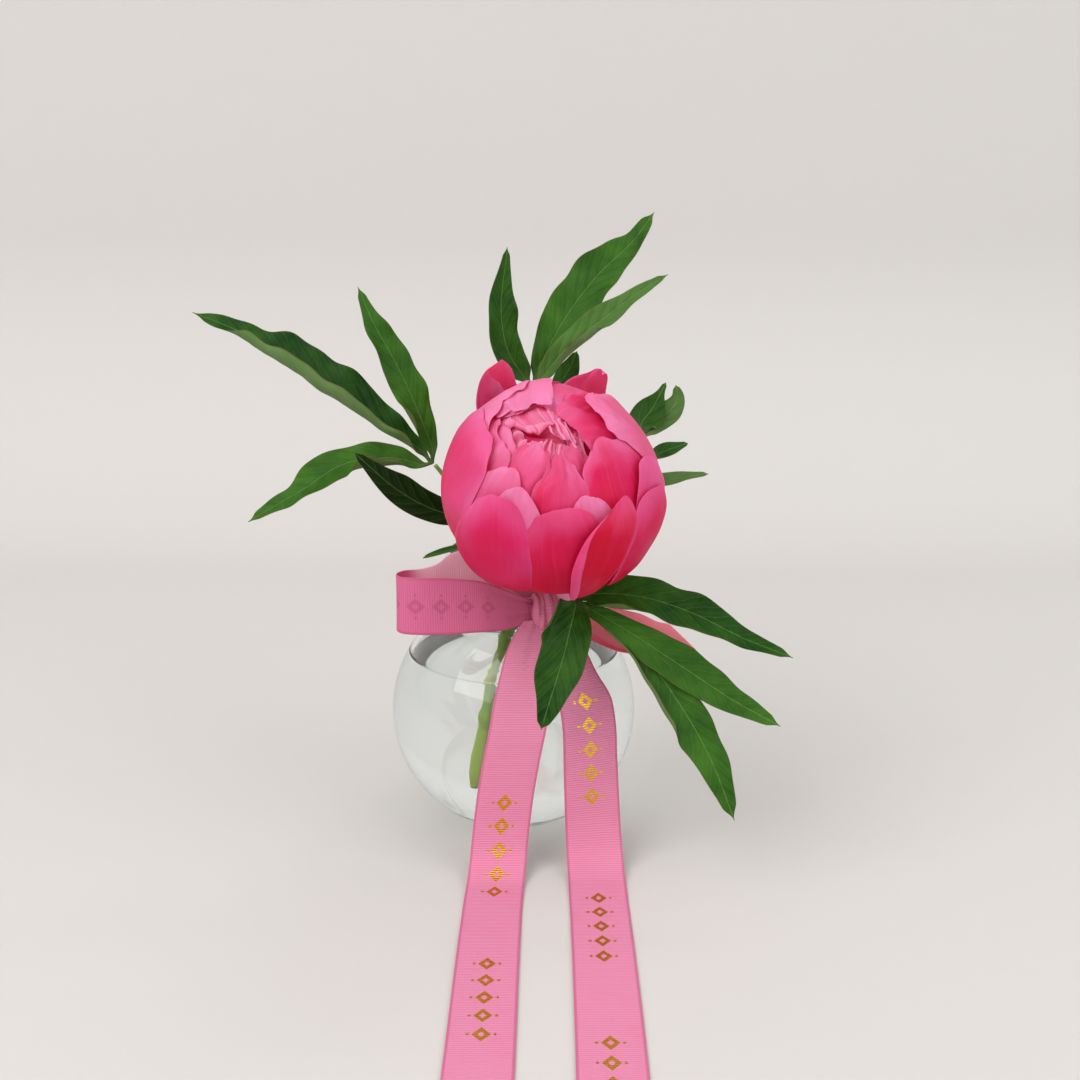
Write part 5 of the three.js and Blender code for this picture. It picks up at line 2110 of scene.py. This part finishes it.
# ---- studio
@dataclass
class Studio:
    """The pale sweep, the soft lights and the camera."""

    camera_at: Point = (12.6, -578.0, 288.0)
    pitch: float = 14.7
    lens: float = 42.83
    sweep_back: float = 420.0
    sweep_bend: float = 260.0
    sweep_top: float = 2600.0
    sweep_side: float = 2400.0

    def sweep(self) -> None:
        """Lay one sheet of paper as floor and backdrop."""
        centre = (self.sweep_back, self.sweep_bend)
        curve = circle_points(centre, self.sweep_bend, np.radians(np.linspace(-90, 0, 25)))
        top = [self.sweep_back + self.sweep_bend, self.sweep_top]
        profile = np.array([[-self.sweep_top, 0.0], [-600.0, 0.0]] + curve + [top])
        across = np.linspace(-self.sweep_side, self.sweep_side, 9)
        points = np.array([[x, y, z - 0.02] for y, z in profile for x in across])
        place = np.arange(len(points)).reshape(len(profile), len(across))
        quads = np.stack([place[:-1, :-1], place[:-1, 1:], place[1:, 1:], place[1:, :-1]], axis=-1)
        paper = mesh_object("paper_sweep", points, quads.reshape(-1, 4))
        paper.data.materials.append(StageFinish("pale_paper", Tone(203, 200, 196)).material())

    @staticmethod
    def lamp(
        name: str, at: Point, aim: float, size: float, power: float, emitted_glow: Tone, mirrored: bool = True
    ) -> None:
        """Hang one soft square lamp.

        Args:
            name: the lamp's name.
            at: where it hangs, in metres.
            aim: the height that it points at, over the vase's foot, in metres.
            size: the length of its side, in metres.
            power: its power in watts.
            emitted_glow: its colour.
            mirrored: whether shiny surfaces mirror it.
        """
        light = bpy.data.lights.new(name, "AREA")
        light.shape = "SQUARE"
        light.size = size
        light.energy = power
        light.color = emitted_glow.light()[:3]
        thing = bpy.data.objects.new(name, light)
        bpy.context.scene.collection.objects.link(thing)
        back = unit(np.array(at) - (0.0, 0.0, aim))
        right = unit(np.cross((0.0, 0.0, 1.0), back))
        up = np.cross(back, right)
        matrix = np.eye(4)
        matrix[:3, 0], matrix[:3, 1], matrix[:3, 2], matrix[:3, 3] = right, up, back, at
        thing.matrix_world = Matrix(matrix.tolist())
        thing.visible_transmission = False
        thing.visible_glossy = mirrored

    def world(self) -> None:
        """Fill the room with even light, a little dimmer towards the floor."""
        board = Board(bpy.data.worlds.new("room_light"))
        place = board.add("ShaderNodeTexCoord", output="Generated")
        height = board.add("ShaderNodeSeparateXYZ", {}, {"Vector": place}, output="Z")
        share = board.add("ShaderNodeMapRange", {}, {"Value": height, "From Min": -1.0})
        stops = [(0.35, Tone(176, 178, 182)), (0.75, Tone(250, 251, 255))]
        tone = board.add("ShaderNodeValToRGB", {"stops": stops}, {"Fac": share})
        shade = board.add("ShaderNodeBackground", {}, {"Color": tone, "Strength": 0.92})
        bpy.context.scene.world = board.done(shade, "ShaderNodeOutputWorld")

    def camera(self) -> None:
        """Set the camera level from side to side, looking a little down."""
        data = bpy.data.cameras.new("portrait_camera")
        data.lens = self.lens
        data.sensor_width = 36.0
        data.clip_end = 20.0
        thing = bpy.data.objects.new("portrait_camera", data)
        thing.location = [value * METRES for value in self.camera_at]
        thing.rotation_euler = (math.radians(90.0 - self.pitch), 0.0, 0.0)
        bpy.context.scene.collection.objects.link(thing)
        bpy.context.scene.camera = thing

    def build(self) -> None:
        """Set the whole studio up."""
        self.camera()
        self.sweep()
        self.world()
        self.lamp("key_lamp", (-1.0, -1.1, 1.5), 0.12, 1.5, 25.0, Tone(255, 250, 244))
        self.lamp("fill_lamp", (1.3, -0.9, 0.9), 0.12, 1.2, 9.0, Tone(248, 250, 255))
        self.lamp("rim_lamp", (0.5, 0.9, 1.2), 0.15, 0.9, 11.5, Tone(255, 255, 255), mirrored=False)
        bpy.context.scene.view_settings.view_transform = "Standard"


def main() -> None:
    """Build the studio, then every piece in order."""
    logging.basicConfig(level=logging.INFO, format="%(name)s: %(message)s")
    Studio().build()
    bloom = Bloom()
    for part in (BudVase(), Stalk(bloom), Foliage(), bloom, Bow()):
        part.build()
        log.info("%s is done", type(part).__name__)


if __name__ == "__main__":
    main()
